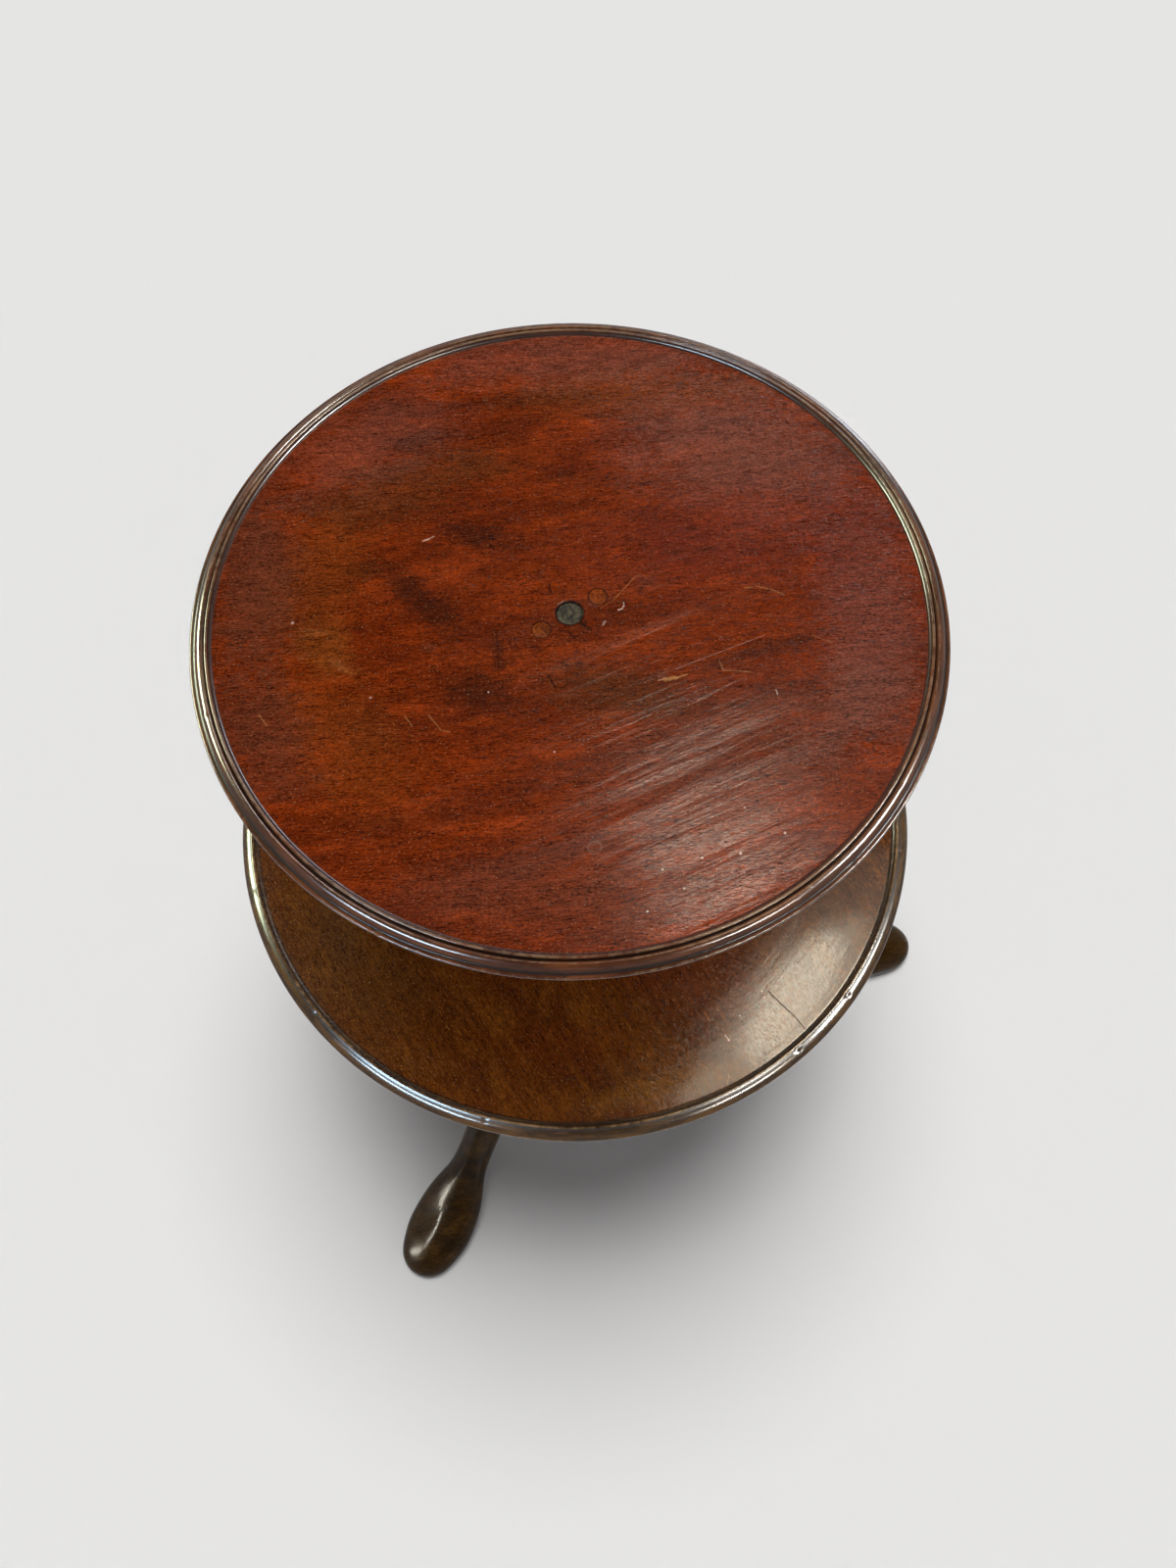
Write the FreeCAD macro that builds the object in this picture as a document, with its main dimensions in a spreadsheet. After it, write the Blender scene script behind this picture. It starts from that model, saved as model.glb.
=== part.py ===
import FreeCAD, Part
import Sketcher
import math
import os

# Driving sizes: millimetres, and degrees for the two bearings
SIZES = (
    ("upper_tray_radius", 260.0, "outer edge of the upper tray"),
    ("upper_tray_level", 778.2, "floor of the upper tray above the ground"),
    ("upper_floor_thickness", 14.0, "board under the upper tray's floor"),
    ("upper_rim_width", 16.0, "moulded rim, from the outer edge to the floor"),
    ("upper_rim_height", 6.6, "crest of the rim above its lip"),
    ("upper_floor_drop", 3.6, "floor below the crest of the rim"),
    ("upper_edge_run", 8.0, "rounded underside, from the outer edge inwards"),
    ("lower_tray_radius", 293.0, "outer edge of the lower tray"),
    ("lower_tray_level", 454.3, "floor of the lower tray above the ground"),
    ("lower_floor_thickness", 11.8, "board under the lower tray's floor"),
    ("lower_rim_width", 15.4, "moulded rim, from the outer edge to the floor"),
    ("lower_rim_height", 5.4, "crest of the rim above its lip"),
    ("lower_floor_drop", 4.6, "floor below the crest of the rim"),
    ("lower_edge_run", 8.0, "rounded underside, from the outer edge inwards"),
    ("boss_radius", 56.0, "turned collar screwed under each tray"),
    ("boss_face_radius", 44.0, "flat bearing face of the collar"),
    ("upper_boss_thickness", 16.0, "collar under the upper tray"),
    ("lower_boss_thickness", 18.0, "collar under the lower tray"),
    ("boss_fillet", 4.0, "straight edge of a collar, next to the tray"),
    ("washer_thickness", 2.0, "leather washer that a collar turns on"),
    ("washer_margin", 2.0, "washer's edge inside the edge of its landing"),
    ("running_gap", 0.1, "play around a turning spigot or shank"),
    ("loose_gap", 0.3, "play around the pivot's head"),
    ("lift_gap", 0.5, "play between the lower tray and the column's foot"),
    ("joinery_gap", 0.1, "glue line around a dovetail"),
    ("pivot_head_radius", 8.9, "round head of the iron pivot"),
    ("pivot_head_thickness", 4.0, "head of the iron pivot"),
    ("pivot_head_sink", 0.3, "top of the head below the tray's floor"),
    ("pivot_head_bevel", 0.5, "worn edge of the head"),
    ("pivot_shank_radius", 5.5, "shank of the iron pivot"),
    ("pivot_grip", 60.0, "shank inside the upper column"),
    ("pivot_point_height", 5.0, "tapered end of the shank"),
    ("pellet_radius", 6.35, "wood pellet over a tray screw"),
    ("pellet_thickness", 5.0, "wood pellet over a tray screw"),
    ("upper_pellet_place", 23.3, "upper pellets from the centre of the tray"),
    ("lower_pellet_place", 40.0, "lower pellets from the centre of the tray"),
    ("pellet_bearing", 32.8, "line of the upper pellets, from +X"),
    ("screw_head_radius", 4.4, "countersunk wood screw"),
    ("screw_head_height", 2.6, "countersunk wood screw"),
    ("screw_shank_radius", 2.2, "countersunk wood screw"),
    ("screw_point_height", 5.0, "countersunk wood screw"),
    ("screw_slot_width", 1.0, "slot in the head"),
    ("screw_slot_depth", 0.9, "slot in the head"),
    ("tray_screw_length", 20.0, "screw through a tray into its collar"),
    ("strap_screw_length", 19.0, "screw through the iron strap"),
    ("spigot_radius", 20.0, "upper column where it passes the lower tray"),
    ("tenon_radius", 12.5, "round tenon of the upper column"),
    ("tenon_length", 55.0, "round tenon of the upper column"),
    ("tenon_end_gap", 1.5, "air under the end of the tenon"),
    ("column_foot_radius", 31.0, "foot ring of the upper column"),
    ("column_vase_radius", 27.0, "widest turning of the upper column"),
    ("column_head_radius", 33.0, "head of the upper column"),
    ("drum_radius", 48.0, "drum at the bottom of the pedestal"),
    ("drum_level", 118.0, "underside of the drum above the ground"),
    ("drum_height", 108.0, "drum at the bottom of the pedestal"),
    ("drum_bevel", 2.0, "bevelled edges of the drum"),
    ("pedestal_vase_radius", 40.0, "widest turning of the pedestal"),
    ("landing_radius", 42.0, "top of the pedestal, under the lower tray"),
    ("dovetail_depth", 15.0, "leg's dovetail inside the drum"),
    ("dovetail_mouth", 12.0, "dovetail's width at the drum's surface"),
    ("dovetail_root", 18.0, "dovetail's width at its inner end"),
    ("dovetail_length", 94.0, "dovetail, from the underside of the drum up"),
    ("leg_reach", 383.0, "tip of a foot from the centre"),
    ("leg_bearing", 1.8, "first leg, from +X"),
    ("knee_width", 39.0, "leg where it leaves the drum"),
    ("knee_height", 103.0, "leg where it leaves the drum"),
    ("ankle_width", 33.0, "narrowest part of the leg"),
    ("ankle_height", 32.0, "thinnest part of the leg"),
    ("foot_width", 65.0, "widest part of the foot"),
    ("foot_height", 33.0, "top of the foot above the ground"),
    ("strap_thickness", 3.0, "iron strap under the drum"),
    ("strap_width", 22.0, "arm of the iron strap"),
    ("strap_reach", 88.0, "end of an arm from the centre"),
    ("strap_hub_radius", 30.0, "round middle of the iron strap"),
    ("strap_inner_screw_place", 20.0, "screws into the drum, from the centre"),
    ("strap_outer_screw_place", 72.0, "screws into the legs, from the centre"),
    ("cut_overrun", 10.0, "how far a cutting shape runs past the wood"),
)

LEG_COUNT = 3
TRAY_SCREW_COUNT = 2
FULL_TURN = 360.0
# Bulge of an arc that turns through a right angle, and of a collar's rounded edge
QUARTER_TURN_SHARE = math.tan(math.pi / 8.0)
BOSS_EDGE_SHARE = 0.35
# Blunt tip of the pivot, as a share of its shank
PIVOT_TIP_SHARE = 0.45


class Size:
    """A length of the sheet, or one worked out from such lengths, with its formula."""

    def __init__(self, value, formula):
        self.value = value
        self.formula = formula

    def __add__(self, other):
        return Size(self.value + other.value, f"({self.formula} + {other.formula})")

    def __sub__(self, other):
        return Size(self.value - other.value, f"({self.formula} - {other.formula})")

    def __mul__(self, share):
        return Size(self.value * share, f"({self.formula} * {share:.6f})")

    def __neg__(self):
        return Size(-self.value, f"(0 - {self.formula})")

    def diagonal(self, other):
        """The straight distance over this length and another at right angles to it."""
        formula = f"sqrt({self.formula}^2 + {other.formula}^2)"
        return Size(math.hypot(self.value, other.value), formula)


ZERO = Size(0.0, "0")


def make_sheet(document):
    """The sheet of driving sizes, and each of them as a Size under its own name."""
    sheet = document.addObject("Spreadsheet::Sheet", "sizes")
    named = {}
    for row, (alias, value, meaning) in enumerate(SIZES, start=1):
        sheet.set(f"A{row}", alias)
        sheet.set(f"B{row}", str(value))
        sheet.setAlias(f"B{row}", alias)
        sheet.set(f"C{row}", meaning)
        named[alias] = Size(value, f"sizes.{alias}")
    document.recompute()
    return named


document = FreeCAD.newDocument("dumbwaiter_table")
size = make_sheet(document)

# Levels of the stack, from the trays' floors down to the landings that carry them
upper_underside = size["upper_tray_level"] - size["upper_floor_thickness"]
upper_boss_face = upper_underside - size["upper_boss_thickness"]
column_head = upper_boss_face - size["washer_thickness"]
lower_underside = size["lower_tray_level"] - size["lower_floor_thickness"]
lower_boss_face = lower_underside - size["lower_boss_thickness"]
pedestal_top = lower_boss_face - size["washer_thickness"]
column_foot = size["lower_tray_level"] + size["lift_gap"]
drum_top = size["drum_level"] + size["drum_height"]
strap_underside = size["drum_level"] - size["strap_thickness"]
spigot_bore = size["spigot_radius"] + size["running_gap"]
pivot_bore = size["pivot_shank_radius"] + size["running_gap"]
pivot_head_top = size["upper_tray_level"] - size["pivot_head_sink"]
pivot_head_seat = pivot_head_top - size["pivot_head_thickness"]


# Outlines are lists of corners: across, up, and the bulge of the side that ends there.
# A bulge is the tangent of a quarter of the arc's angle: more than zero swells out of
# the wood, less than zero is hollow, and zero is straight. Corners run anticlockwise.

def segments(corners):
    """Each side of an outline as its first corner, its last corner and its bulge."""
    sides = []
    for index, first in enumerate(corners):
        last = corners[(index + 1) % len(corners)]
        sides.append((first, last, last[2]))
    return sides


def arc_radius(first, last, bulge):
    """Radius of the arc that spans two corners with this bulge."""
    chord = (last[0] - first[0]).diagonal(last[1] - first[1])
    return chord * ((1.0 + bulge * bulge) / (4.0 * abs(bulge)))


def arc_centre(first, last, bulge):
    """Centre of the arc that spans two corners with this bulge, as two numbers."""
    across = last[0].value - first[0].value
    up = last[1].value - first[1].value
    lean = (1.0 - bulge * bulge) / (4.0 * bulge)
    centre_across = first[0].value + across / 2.0 - up * lean
    centre_up = first[1].value + up / 2.0 + across * lean
    return centre_across, centre_up


def arc_geometry(first, last, bulge):
    """The arc of a side as a circle's arc that runs anticlockwise."""
    start, end = (first, last) if bulge > 0 else (last, first)
    across, up = arc_centre(first, last, bulge)
    begin = math.atan2(start[1].value - up, start[0].value - across)
    finish = math.atan2(end[1].value - up, end[0].value - across)
    if finish < begin:
        finish += 2.0 * math.pi
    circle = Part.Circle(FreeCAD.Vector(across, up, 0), FreeCAD.Vector(0, 0, 1),
                         arc_radius(first, last, bulge).value)
    return Part.ArcOfCircle(circle, begin, finish)


def hold_point(sketch, curve, point, corner):
    """Keep one end of a curve at a corner, by the formulas of that corner."""
    for kind, length, axis in (("DistanceX", corner[0], -2), ("DistanceY", corner[1], -1)):
        if length.value == 0:
            sketch.addConstraint(Sketcher.Constraint("PointOnObject", curve, point, axis))
            continue
        rule = Sketcher.Constraint(kind, -1, 1, curve, point, length.value)
        sketch.setExpression(f"Constraints[{sketch.addConstraint(rule)}]", length.formula)


def draw_outline(sketch, corners):
    """Draw a closed outline of straight and round sides, each corner held by formulas."""
    ends = []
    for first, last, bulge in segments(corners):
        if bulge == 0:
            line = Part.LineSegment(FreeCAD.Vector(first[0].value, first[1].value, 0),
                                    FreeCAD.Vector(last[0].value, last[1].value, 0))
            ends.append((sketch.addGeometry(line), 1, 2))
            continue
        curve = sketch.addGeometry(arc_geometry(first, last, bulge))
        ends.append((curve, 1, 2) if bulge > 0 else (curve, 2, 1))
    for index, corner in enumerate(corners):
        curve, start, _ = ends[index]
        previous, _, finish = ends[index - 1]
        sketch.addConstraint(Sketcher.Constraint("Coincident", previous, finish, curve, start))
        hold_point(sketch, curve, start, corner)
    for index, (first, last, bulge) in enumerate(segments(corners)):
        if bulge == 0:
            continue
        radius = arc_radius(first, last, bulge)
        rule = Sketcher.Constraint("Radius", ends[index][0], radius.value)
        sketch.setExpression(f"Constraints[{sketch.addConstraint(rule)}]", radius.formula)


def draw_axis(sketch, across, low, high):
    """Draw an upright construction line that a screw or a pellet is turned about."""
    line = Part.LineSegment(FreeCAD.Vector(across.value, low.value, 0),
                            FreeCAD.Vector(across.value, high.value, 0))
    curve = sketch.addGeometry(line, True)
    hold_point(sketch, curve, 1, (across, low))
    hold_point(sketch, curve, 2, (across, high))


def make_body(name, several=False):
    """An empty sub-part with its own name."""
    body = document.addObject("PartDesign::Body", name)
    body.Label = name
    if several:
        body.AllowCompound = True
    return body


def origin_feature(body, role):
    """One of the body's own origin planes or axes."""
    return next(item for item in body.Origin.OriginFeatures if item.Role == role)


def make_sketch(body, name, plane, level=None):
    """A sketch on one of the body's origin planes, or at a level above it."""
    sketch = body.newObject("Sketcher::SketchObject", f"{body.Name}_{name}")
    sketch.AttachmentSupport = (origin_feature(body, plane), [""])
    sketch.MapMode = "FlatFace"
    if level is not None:
        sketch.setExpression("AttachmentOffset.Base.z", level.formula)
    return sketch


def turn(body, name, corners, kind="PartDesign::Revolution", axis=None):
    """Turn an outline about the column's axis, or about an upright axis of its own."""
    sketch = make_sketch(body, f"{name}_outline", "XZ_Plane")
    draw_outline(sketch, corners)
    if axis is not None:
        draw_axis(sketch, *axis)
    feature = body.newObject(kind, f"{body.Name}_{name}")
    feature.Profile = sketch
    feature.ReferenceAxis = (sketch, ["V_Axis" if axis is None else "Axis0"])
    feature.Angle = FULL_TURN
    body.Tip = feature
    return feature


def extrude(body, name, corners, level, length, kind="PartDesign::Pad", upward=True):
    """Raise or cut a flat outline from a level, over a length."""
    sketch = make_sketch(body, f"{name}_outline", "XY_Plane", level)
    draw_outline(sketch, corners)
    feature = body.newObject(kind, f"{body.Name}_{name}")
    feature.Profile = sketch
    feature.setExpression("Length", length.formula)
    feature.Reversed = upward if kind == "PartDesign::Pocket" else not upward
    body.Tip = feature
    return feature


def repeat_round(body, name, features, count):
    """Repeat features evenly round the column's axis."""
    pattern = body.newObject("PartDesign::PolarPattern", f"{body.Name}_{name}")
    pattern.Originals = features
    pattern.Axis = (origin_feature(body, "Z_Axis"), [""])
    pattern.Angle = FULL_TURN
    pattern.Occurrences = count
    body.Tip = pattern
    return pattern


def face_bearing(piece, bearing):
    """Turn a whole sub-part round the column's axis to its bearing."""
    piece.Placement = FreeCAD.Placement(FreeCAD.Vector(0, 0, 0),
                                        FreeCAD.Rotation(FreeCAD.Vector(0, 0, 1), bearing.value))
    piece.setExpression("Placement.Rotation.Angle", f"{bearing.formula} * 1 deg")


# Countersunk wood screws, and the pellets that hide the ones in the trays

def screw_corners(place, head, length, upward=False):
    """Half outline of a screw whose flat head lies at a level."""
    def along(distance):
        return head + distance if upward else head - distance

    corners = [
        (place, head, 0),
        (place + size["screw_head_radius"], head, 0),
        (place + size["screw_shank_radius"], along(size["screw_head_height"]), 0),
        (place + size["screw_shank_radius"], along(length - size["screw_point_height"]), 0),
        (place, along(length), 0),
    ]
    return corners if upward else corners[::-1]


def screw_axis(place, head, length, upward=False):
    """Axis of a screw whose flat head lies at a level."""
    tip = head + length if upward else head - length
    return (place, head, tip)


def slot_corners(place):
    """Slot across a screw's head, in plan."""
    half_width = size["screw_slot_width"] * 0.5
    half_length = size["screw_head_radius"] + size["screw_slot_depth"]
    return [
        (place - half_width, -half_length, 0),
        (place + half_width, -half_length, 0),
        (place + half_width, half_length, 0),
        (place - half_width, half_length, 0),
    ]


def cut_screw_holes(body, place, head, length, count, upward=False):
    """Cut the holes that a ring of screws fills."""
    hole = turn(body, "screw_hole", screw_corners(place, head, length, upward),
                "PartDesign::Groove", screw_axis(place, head, length, upward))
    return repeat_round(body, "screw_holes", [hole], count)


def make_tray_screws(name, place, head):
    """The two screws that hold a collar under a tray."""
    body = make_body(name, several=True)
    length = size["tray_screw_length"]
    screw = turn(body, "screw", screw_corners(place, head, length),
                 axis=screw_axis(place, head, length))
    slot = extrude(body, "slot", slot_corners(place), head, size["screw_slot_depth"],
                   "PartDesign::Pocket", upward=False)
    repeat_round(body, "screws", [screw, slot], TRAY_SCREW_COUNT)
    return body


def make_pellets(name, place, level):
    """The two wood pellets over a tray's screws, flush with its floor."""
    body = make_body(name, several=True)
    bottom = level - size["pellet_thickness"]
    corners = [
        (place, bottom, 0),
        (place + size["pellet_radius"], bottom, 0),
        (place + size["pellet_radius"], level, 0),
        (place, level, 0),
    ]
    pellet = turn(body, "pellet", corners, axis=(place, bottom, level))
    repeat_round(body, "pellets", [pellet], TRAY_SCREW_COUNT)
    return body


# Trays: one dished board each, with a moulded rim

# Upper rim, from its underside over the lip to the floor: inset as a share of the rim's
# width, drop below the crest as a share of the rim's height, and bulge
UPPER_RIM_SHARES = (
    (0.060, 1.36, 0.20),
    (0.075, 0.96, 0.75),
    (0.220, 0.93, 0.00),
    (0.237, 0.85, 0.00),
    (0.530, 0.12, 0.30),
    (0.650, 0.43, 0.32),
    (0.680, 0.50, 0.00),
    (0.712, 0.16, 0.00),
    (0.850, 0.12, 0.85),
)
# Lower rim: a broad rounded slope outside a narrow bead
LOWER_RIM_SHARES = (
    (0.030, 1.42, 0.20),
    (0.045, 1.00, 0.35),
    (0.545, 0.10, 0.20),
    (0.690, 0.12, 0.45),
    (0.712, 0.24, 0.00),
)
FLOOR_COVE_SHARE = -0.30


def rim_corners(radius, width, height, crest, shares):
    """Corners of a tray's rim, from its underside to the edge of the floor."""
    return [
        (radius - width * inset, crest - height * drop, bulge)
        for inset, drop, bulge in shares
    ]


def make_tray(name, prefix, shares, bore_corners):
    """A dished tray: flat underside, moulded rim, flat floor and the hole in its middle."""
    radius = size[f"{prefix}_tray_radius"]
    level = size[f"{prefix}_tray_level"]
    underside = level - size[f"{prefix}_floor_thickness"]
    width = size[f"{prefix}_rim_width"]
    crest = level + size[f"{prefix}_floor_drop"]
    corners = [(radius - size[f"{prefix}_edge_run"], underside, 0)]
    corners += rim_corners(radius, width, size[f"{prefix}_rim_height"], crest, shares)
    corners.append((radius - width, level, FLOOR_COVE_SHARE))
    corners += bore_corners
    body = make_body(name)
    turn(body, "board", corners)
    return body


def cut_pellet_holes(body, place, level):
    """Cut the holes for the pellets and for the screws under them."""
    bottom = level - size["pellet_thickness"]
    top = level + size["cut_overrun"]
    corners = [
        (place, bottom, 0),
        (place + size["pellet_radius"], bottom, 0),
        (place + size["pellet_radius"], top, 0),
        (place, top, 0),
    ]
    hole = turn(body, "pellet_hole", corners, "PartDesign::Groove", (place, bottom, top))
    repeat_round(body, "pellet_holes", [hole], TRAY_SCREW_COUNT)
    cut_screw_holes(body, place, bottom, size["tray_screw_length"], TRAY_SCREW_COUNT)


def make_upper_tray():
    head_bore = size["pivot_head_radius"] + size["loose_gap"]
    head_floor = pivot_head_seat - size["loose_gap"]
    body = make_tray("upper_tray", "upper", UPPER_RIM_SHARES, [
        (head_bore, size["upper_tray_level"], 0),
        (head_bore, head_floor, 0),
        (pivot_bore, head_floor, 0),
        (pivot_bore, upper_underside, 0),
    ])
    cut_pellet_holes(body, size["upper_pellet_place"], size["upper_tray_level"])
    face_bearing(body, size["pellet_bearing"])


def make_lower_tray():
    body = make_tray("lower_tray", "lower", LOWER_RIM_SHARES, [
        (spigot_bore, size["lower_tray_level"], 0),
        (spigot_bore, lower_underside, 0),
    ])
    cut_pellet_holes(body, size["lower_pellet_place"], size["lower_tray_level"])


# Collars under the trays, their screws and pellets, and the washers they turn on

def make_boss(name, bore, underside, thickness, place, head):
    """A turned collar with a rounded edge, glued and screwed under a tray."""
    face = underside - thickness
    body = make_body(name)
    turn(body, "collar", [
        (bore, face, 0),
        (size["boss_face_radius"], face, 0),
        (size["boss_radius"], underside - size["boss_fillet"], BOSS_EDGE_SHARE),
        (size["boss_radius"], underside, 0),
        (bore, underside, 0),
    ])
    cut_screw_holes(body, place, head, size["tray_screw_length"], TRAY_SCREW_COUNT)
    return body


def make_washer(name, bore, landing, bottom):
    """A flat ring on the landing that carries a tray's collar."""
    outer = landing - size["washer_margin"]
    top = bottom + size["washer_thickness"]
    body = make_body(name)
    turn(body, "ring", [
        (bore, bottom, 0),
        (outer, bottom, 0),
        (outer, top, 0),
        (bore, top, 0),
    ])


def make_tray_fittings():
    upper_head = size["upper_tray_level"] - size["pellet_thickness"]
    lower_head = size["lower_tray_level"] - size["pellet_thickness"]
    upper_place = size["upper_pellet_place"]
    lower_place = size["lower_pellet_place"]
    turned = [
        make_boss("upper_tray_boss", pivot_bore, upper_underside,
                  size["upper_boss_thickness"], upper_place, upper_head),
        make_tray_screws("upper_boss_screws", upper_place, upper_head),
        make_pellets("upper_screw_pellets", upper_place, size["upper_tray_level"]),
    ]
    for piece in turned:
        face_bearing(piece, size["pellet_bearing"])
    make_boss("lower_tray_boss", spigot_bore, lower_underside,
              size["lower_boss_thickness"], lower_place, lower_head)
    make_tray_screws("lower_boss_screws", lower_place, lower_head)
    make_pellets("lower_screw_pellets", lower_place, size["lower_tray_level"])
    make_washer("upper_bearing_washer", pivot_bore, size["column_head_radius"], column_head)
    make_washer("lower_bearing_washer", spigot_bore, size["landing_radius"], pedestal_top)


# Iron pivot: its head is let into the upper tray and its shank holds in the column

def make_pivot():
    body = make_body("pivot_bolt")
    head = size["pivot_head_radius"]
    shank = size["pivot_shank_radius"]
    bevel = size["pivot_head_bevel"]
    end = column_head - size["pivot_grip"]
    turn(body, "iron", [
        (ZERO, end, 0),
        (shank * PIVOT_TIP_SHARE, end, 0),
        (shank, end + size["pivot_point_height"], 0),
        (shank, pivot_head_seat, 0),
        (head, pivot_head_seat, 0),
        (head, pivot_head_top - bevel, 0),
        (head - bevel, pivot_head_top, QUARTER_TURN_SHARE),
        (ZERO, pivot_head_top, 0),
    ])


# Turned columns: height as a share of the turned stretch, radius as a share of the
# widest turning, and bulge

PEDESTAL_TURNING_SHARES = (
    (0.000, 0.960, 0.00),
    (0.078, 0.620, -0.34),
    (0.078, 0.700, 0.00),
    (0.112, 0.700, 0.80),
    (0.112, 0.580, 0.00),
    (0.128, 0.580, 0.00),
    (0.300, 1.000, 0.32),
    (0.440, 0.800, 0.22),
    (0.560, 0.500, -0.22),
    (0.560, 0.600, 0.00),
    (0.590, 0.600, 0.80),
    (0.590, 0.530, 0.00),
    (0.605, 0.560, 0.00),
    (0.860, 0.500, 0.00),
    (0.860, 0.590, 0.00),
    (0.886, 0.590, 0.80),
    (0.886, 0.520, 0.00),
)
COLUMN_TURNING_SHARES = (
    (0.030, 0.980, 0.30),
    (0.075, 0.560, -0.34),
    (0.075, 0.660, 0.00),
    (0.096, 0.660, 0.80),
    (0.096, 0.520, 0.00),
    (0.104, 0.520, 0.00),
    (0.190, 1.000, 0.32),
    (0.272, 0.780, 0.22),
    (0.350, 0.460, -0.22),
    (0.350, 0.600, 0.00),
    (0.370, 0.600, 0.80),
    (0.370, 0.520, 0.00),
    (0.384, 0.600, 0.00),
    (0.850, 0.500, 0.00),
    (0.850, 0.620, 0.00),
    (0.868, 0.620, 0.80),
    (0.868, 0.540, 0.00),
)
CAPITAL_COVE_SHARE = -0.34
CAPITAL_HEIGHT_SHARE = 0.955


def turning(low, high, radius, shares):
    """Corners of a turned stretch between two levels."""
    stretch = high - low
    return [
        (radius * out, low + stretch * rise, bulge)
        for rise, out, bulge in shares
    ]


def capital_corners(low, high, radius):
    """A hollow that opens to the flat landing at the top of a turned stretch."""
    stretch = high - low
    return [
        (radius, low + stretch * CAPITAL_HEIGHT_SHARE, CAPITAL_COVE_SHARE),
        (radius, high, 0),
    ]


def make_pedestal():
    """Turned pedestal with a socket on top and three dovetail slots in its drum."""
    drum = size["drum_radius"]
    bevel = size["drum_bevel"]
    socket_floor = pedestal_top - size["tenon_length"] - size["tenon_end_gap"]
    body = make_body("pedestal_column")
    corners = [
        (ZERO, size["drum_level"], 0),
        (drum - bevel, size["drum_level"], 0),
        (drum, size["drum_level"] + bevel, 0),
        (drum, drum_top - bevel, 0),
        (drum - bevel, drum_top, QUARTER_TURN_SHARE),
    ]
    corners += turning(drum_top, pedestal_top, size["pedestal_vase_radius"],
                       PEDESTAL_TURNING_SHARES)
    corners += capital_corners(drum_top, pedestal_top, size["landing_radius"])
    corners += [
        (size["tenon_radius"], pedestal_top, 0),
        (size["tenon_radius"], socket_floor, 0),
        (ZERO, socket_floor, 0),
    ]
    turn(body, "pillar", corners)
    slot = extrude(body, "dovetail_slot", dovetail_outline(size["joinery_gap"]),
                   size["drum_level"], size["dovetail_length"] + size["joinery_gap"],
                   "PartDesign::Pocket", upward=True)
    repeat_round(body, "dovetail_slots", [slot], LEG_COUNT)
    cut_screw_holes(body, size["strap_inner_screw_place"], strap_underside,
                    size["strap_screw_length"], LEG_COUNT, upward=True)
    face_bearing(body, size["leg_bearing"])


def dovetail_outline(play):
    """Dovetail in plan: narrow at the drum's surface, wide at its inner end."""
    root = size["drum_radius"] - size["dovetail_depth"] - play
    mouth = size["drum_radius"] + size["joinery_gap"]
    half_root = size["dovetail_root"] * 0.5 + play
    half_mouth = size["dovetail_mouth"] * 0.5 + play
    return [
        (root, -half_root, 0),
        (mouth, -half_mouth, 0),
        (mouth, half_mouth, 0),
        (root, half_root, 0),
    ]


def make_upper_column():
    """Turned column between the trays, with its spigot, tenon and pivot hole."""
    tenon = size["tenon_radius"]
    spigot = size["spigot_radius"]
    end = column_head - size["pivot_grip"]
    shank = size["pivot_shank_radius"]
    body = make_body("upper_column")
    corners = [
        (ZERO, pedestal_top - size["tenon_length"], 0),
        (tenon, pedestal_top - size["tenon_length"], 0),
        (tenon, pedestal_top, 0),
        (spigot, pedestal_top, 0),
        (spigot, column_foot, 0),
        (size["column_foot_radius"], column_foot, 0),
    ]
    corners += turning(column_foot, column_head, size["column_vase_radius"],
                       COLUMN_TURNING_SHARES)
    corners += capital_corners(column_foot, column_head, size["column_head_radius"])
    corners += [
        (shank, column_head, 0),
        (shank, end + size["pivot_point_height"], 0),
        (shank * PIVOT_TIP_SHARE, end, 0),
        (ZERO, end, 0),
    ]
    turn(body, "pillar", corners)


# Iron strap under the drum, and its screws

def strap_arm_corners(reach):
    """One arm in plan, with a round end."""
    half = size["strap_width"] * 0.5
    return [
        (ZERO, -half, 0),
        (reach - half, -half, 0),
        (reach, ZERO, QUARTER_TURN_SHARE),
        (reach - half, half, QUARTER_TURN_SHARE),
        (ZERO, half, 0),
    ]


def make_strap():
    body = make_body("base_strap")
    thickness = size["strap_thickness"]
    turn(body, "hub", [
        (ZERO, strap_underside, 0),
        (size["strap_hub_radius"], strap_underside, 0),
        (size["strap_hub_radius"], size["drum_level"], 0),
        (ZERO, size["drum_level"], 0),
    ])
    arm = extrude(body, "arm", strap_arm_corners(size["strap_reach"]),
                  strap_underside, thickness)
    repeat_round(body, "arms", [arm], LEG_COUNT)
    length = size["strap_screw_length"]
    for name, place in (("inner", size["strap_inner_screw_place"]),
                        ("outer", size["strap_outer_screw_place"])):
        hole = turn(body, f"{name}_hole", screw_corners(place, strap_underside, length, True),
                    "PartDesign::Groove", screw_axis(place, strap_underside, length, True))
        repeat_round(body, f"{name}_holes", [hole], LEG_COUNT)
    face_bearing(body, size["leg_bearing"])


def make_strap_screws():
    body = make_body("base_strap_screws", several=True)
    length = size["strap_screw_length"]
    features = []
    for name, place in (("inner", size["strap_inner_screw_place"]),
                        ("outer", size["strap_outer_screw_place"])):
        features.append(turn(body, f"{name}_screw",
                             screw_corners(place, strap_underside, length, True),
                             axis=screw_axis(place, strap_underside, length, True)))
        features.append(extrude(body, f"{name}_slot", slot_corners(place), strap_underside,
                                size["screw_slot_depth"], "PartDesign::Pocket", upward=True))
    repeat_round(body, "screws", features, LEG_COUNT)
    face_bearing(body, size["leg_bearing"])


# Legs: a stack of rounded sections along a double curve. Each section is a closed curve
# whose control points are shares of half its width and half its height

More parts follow.
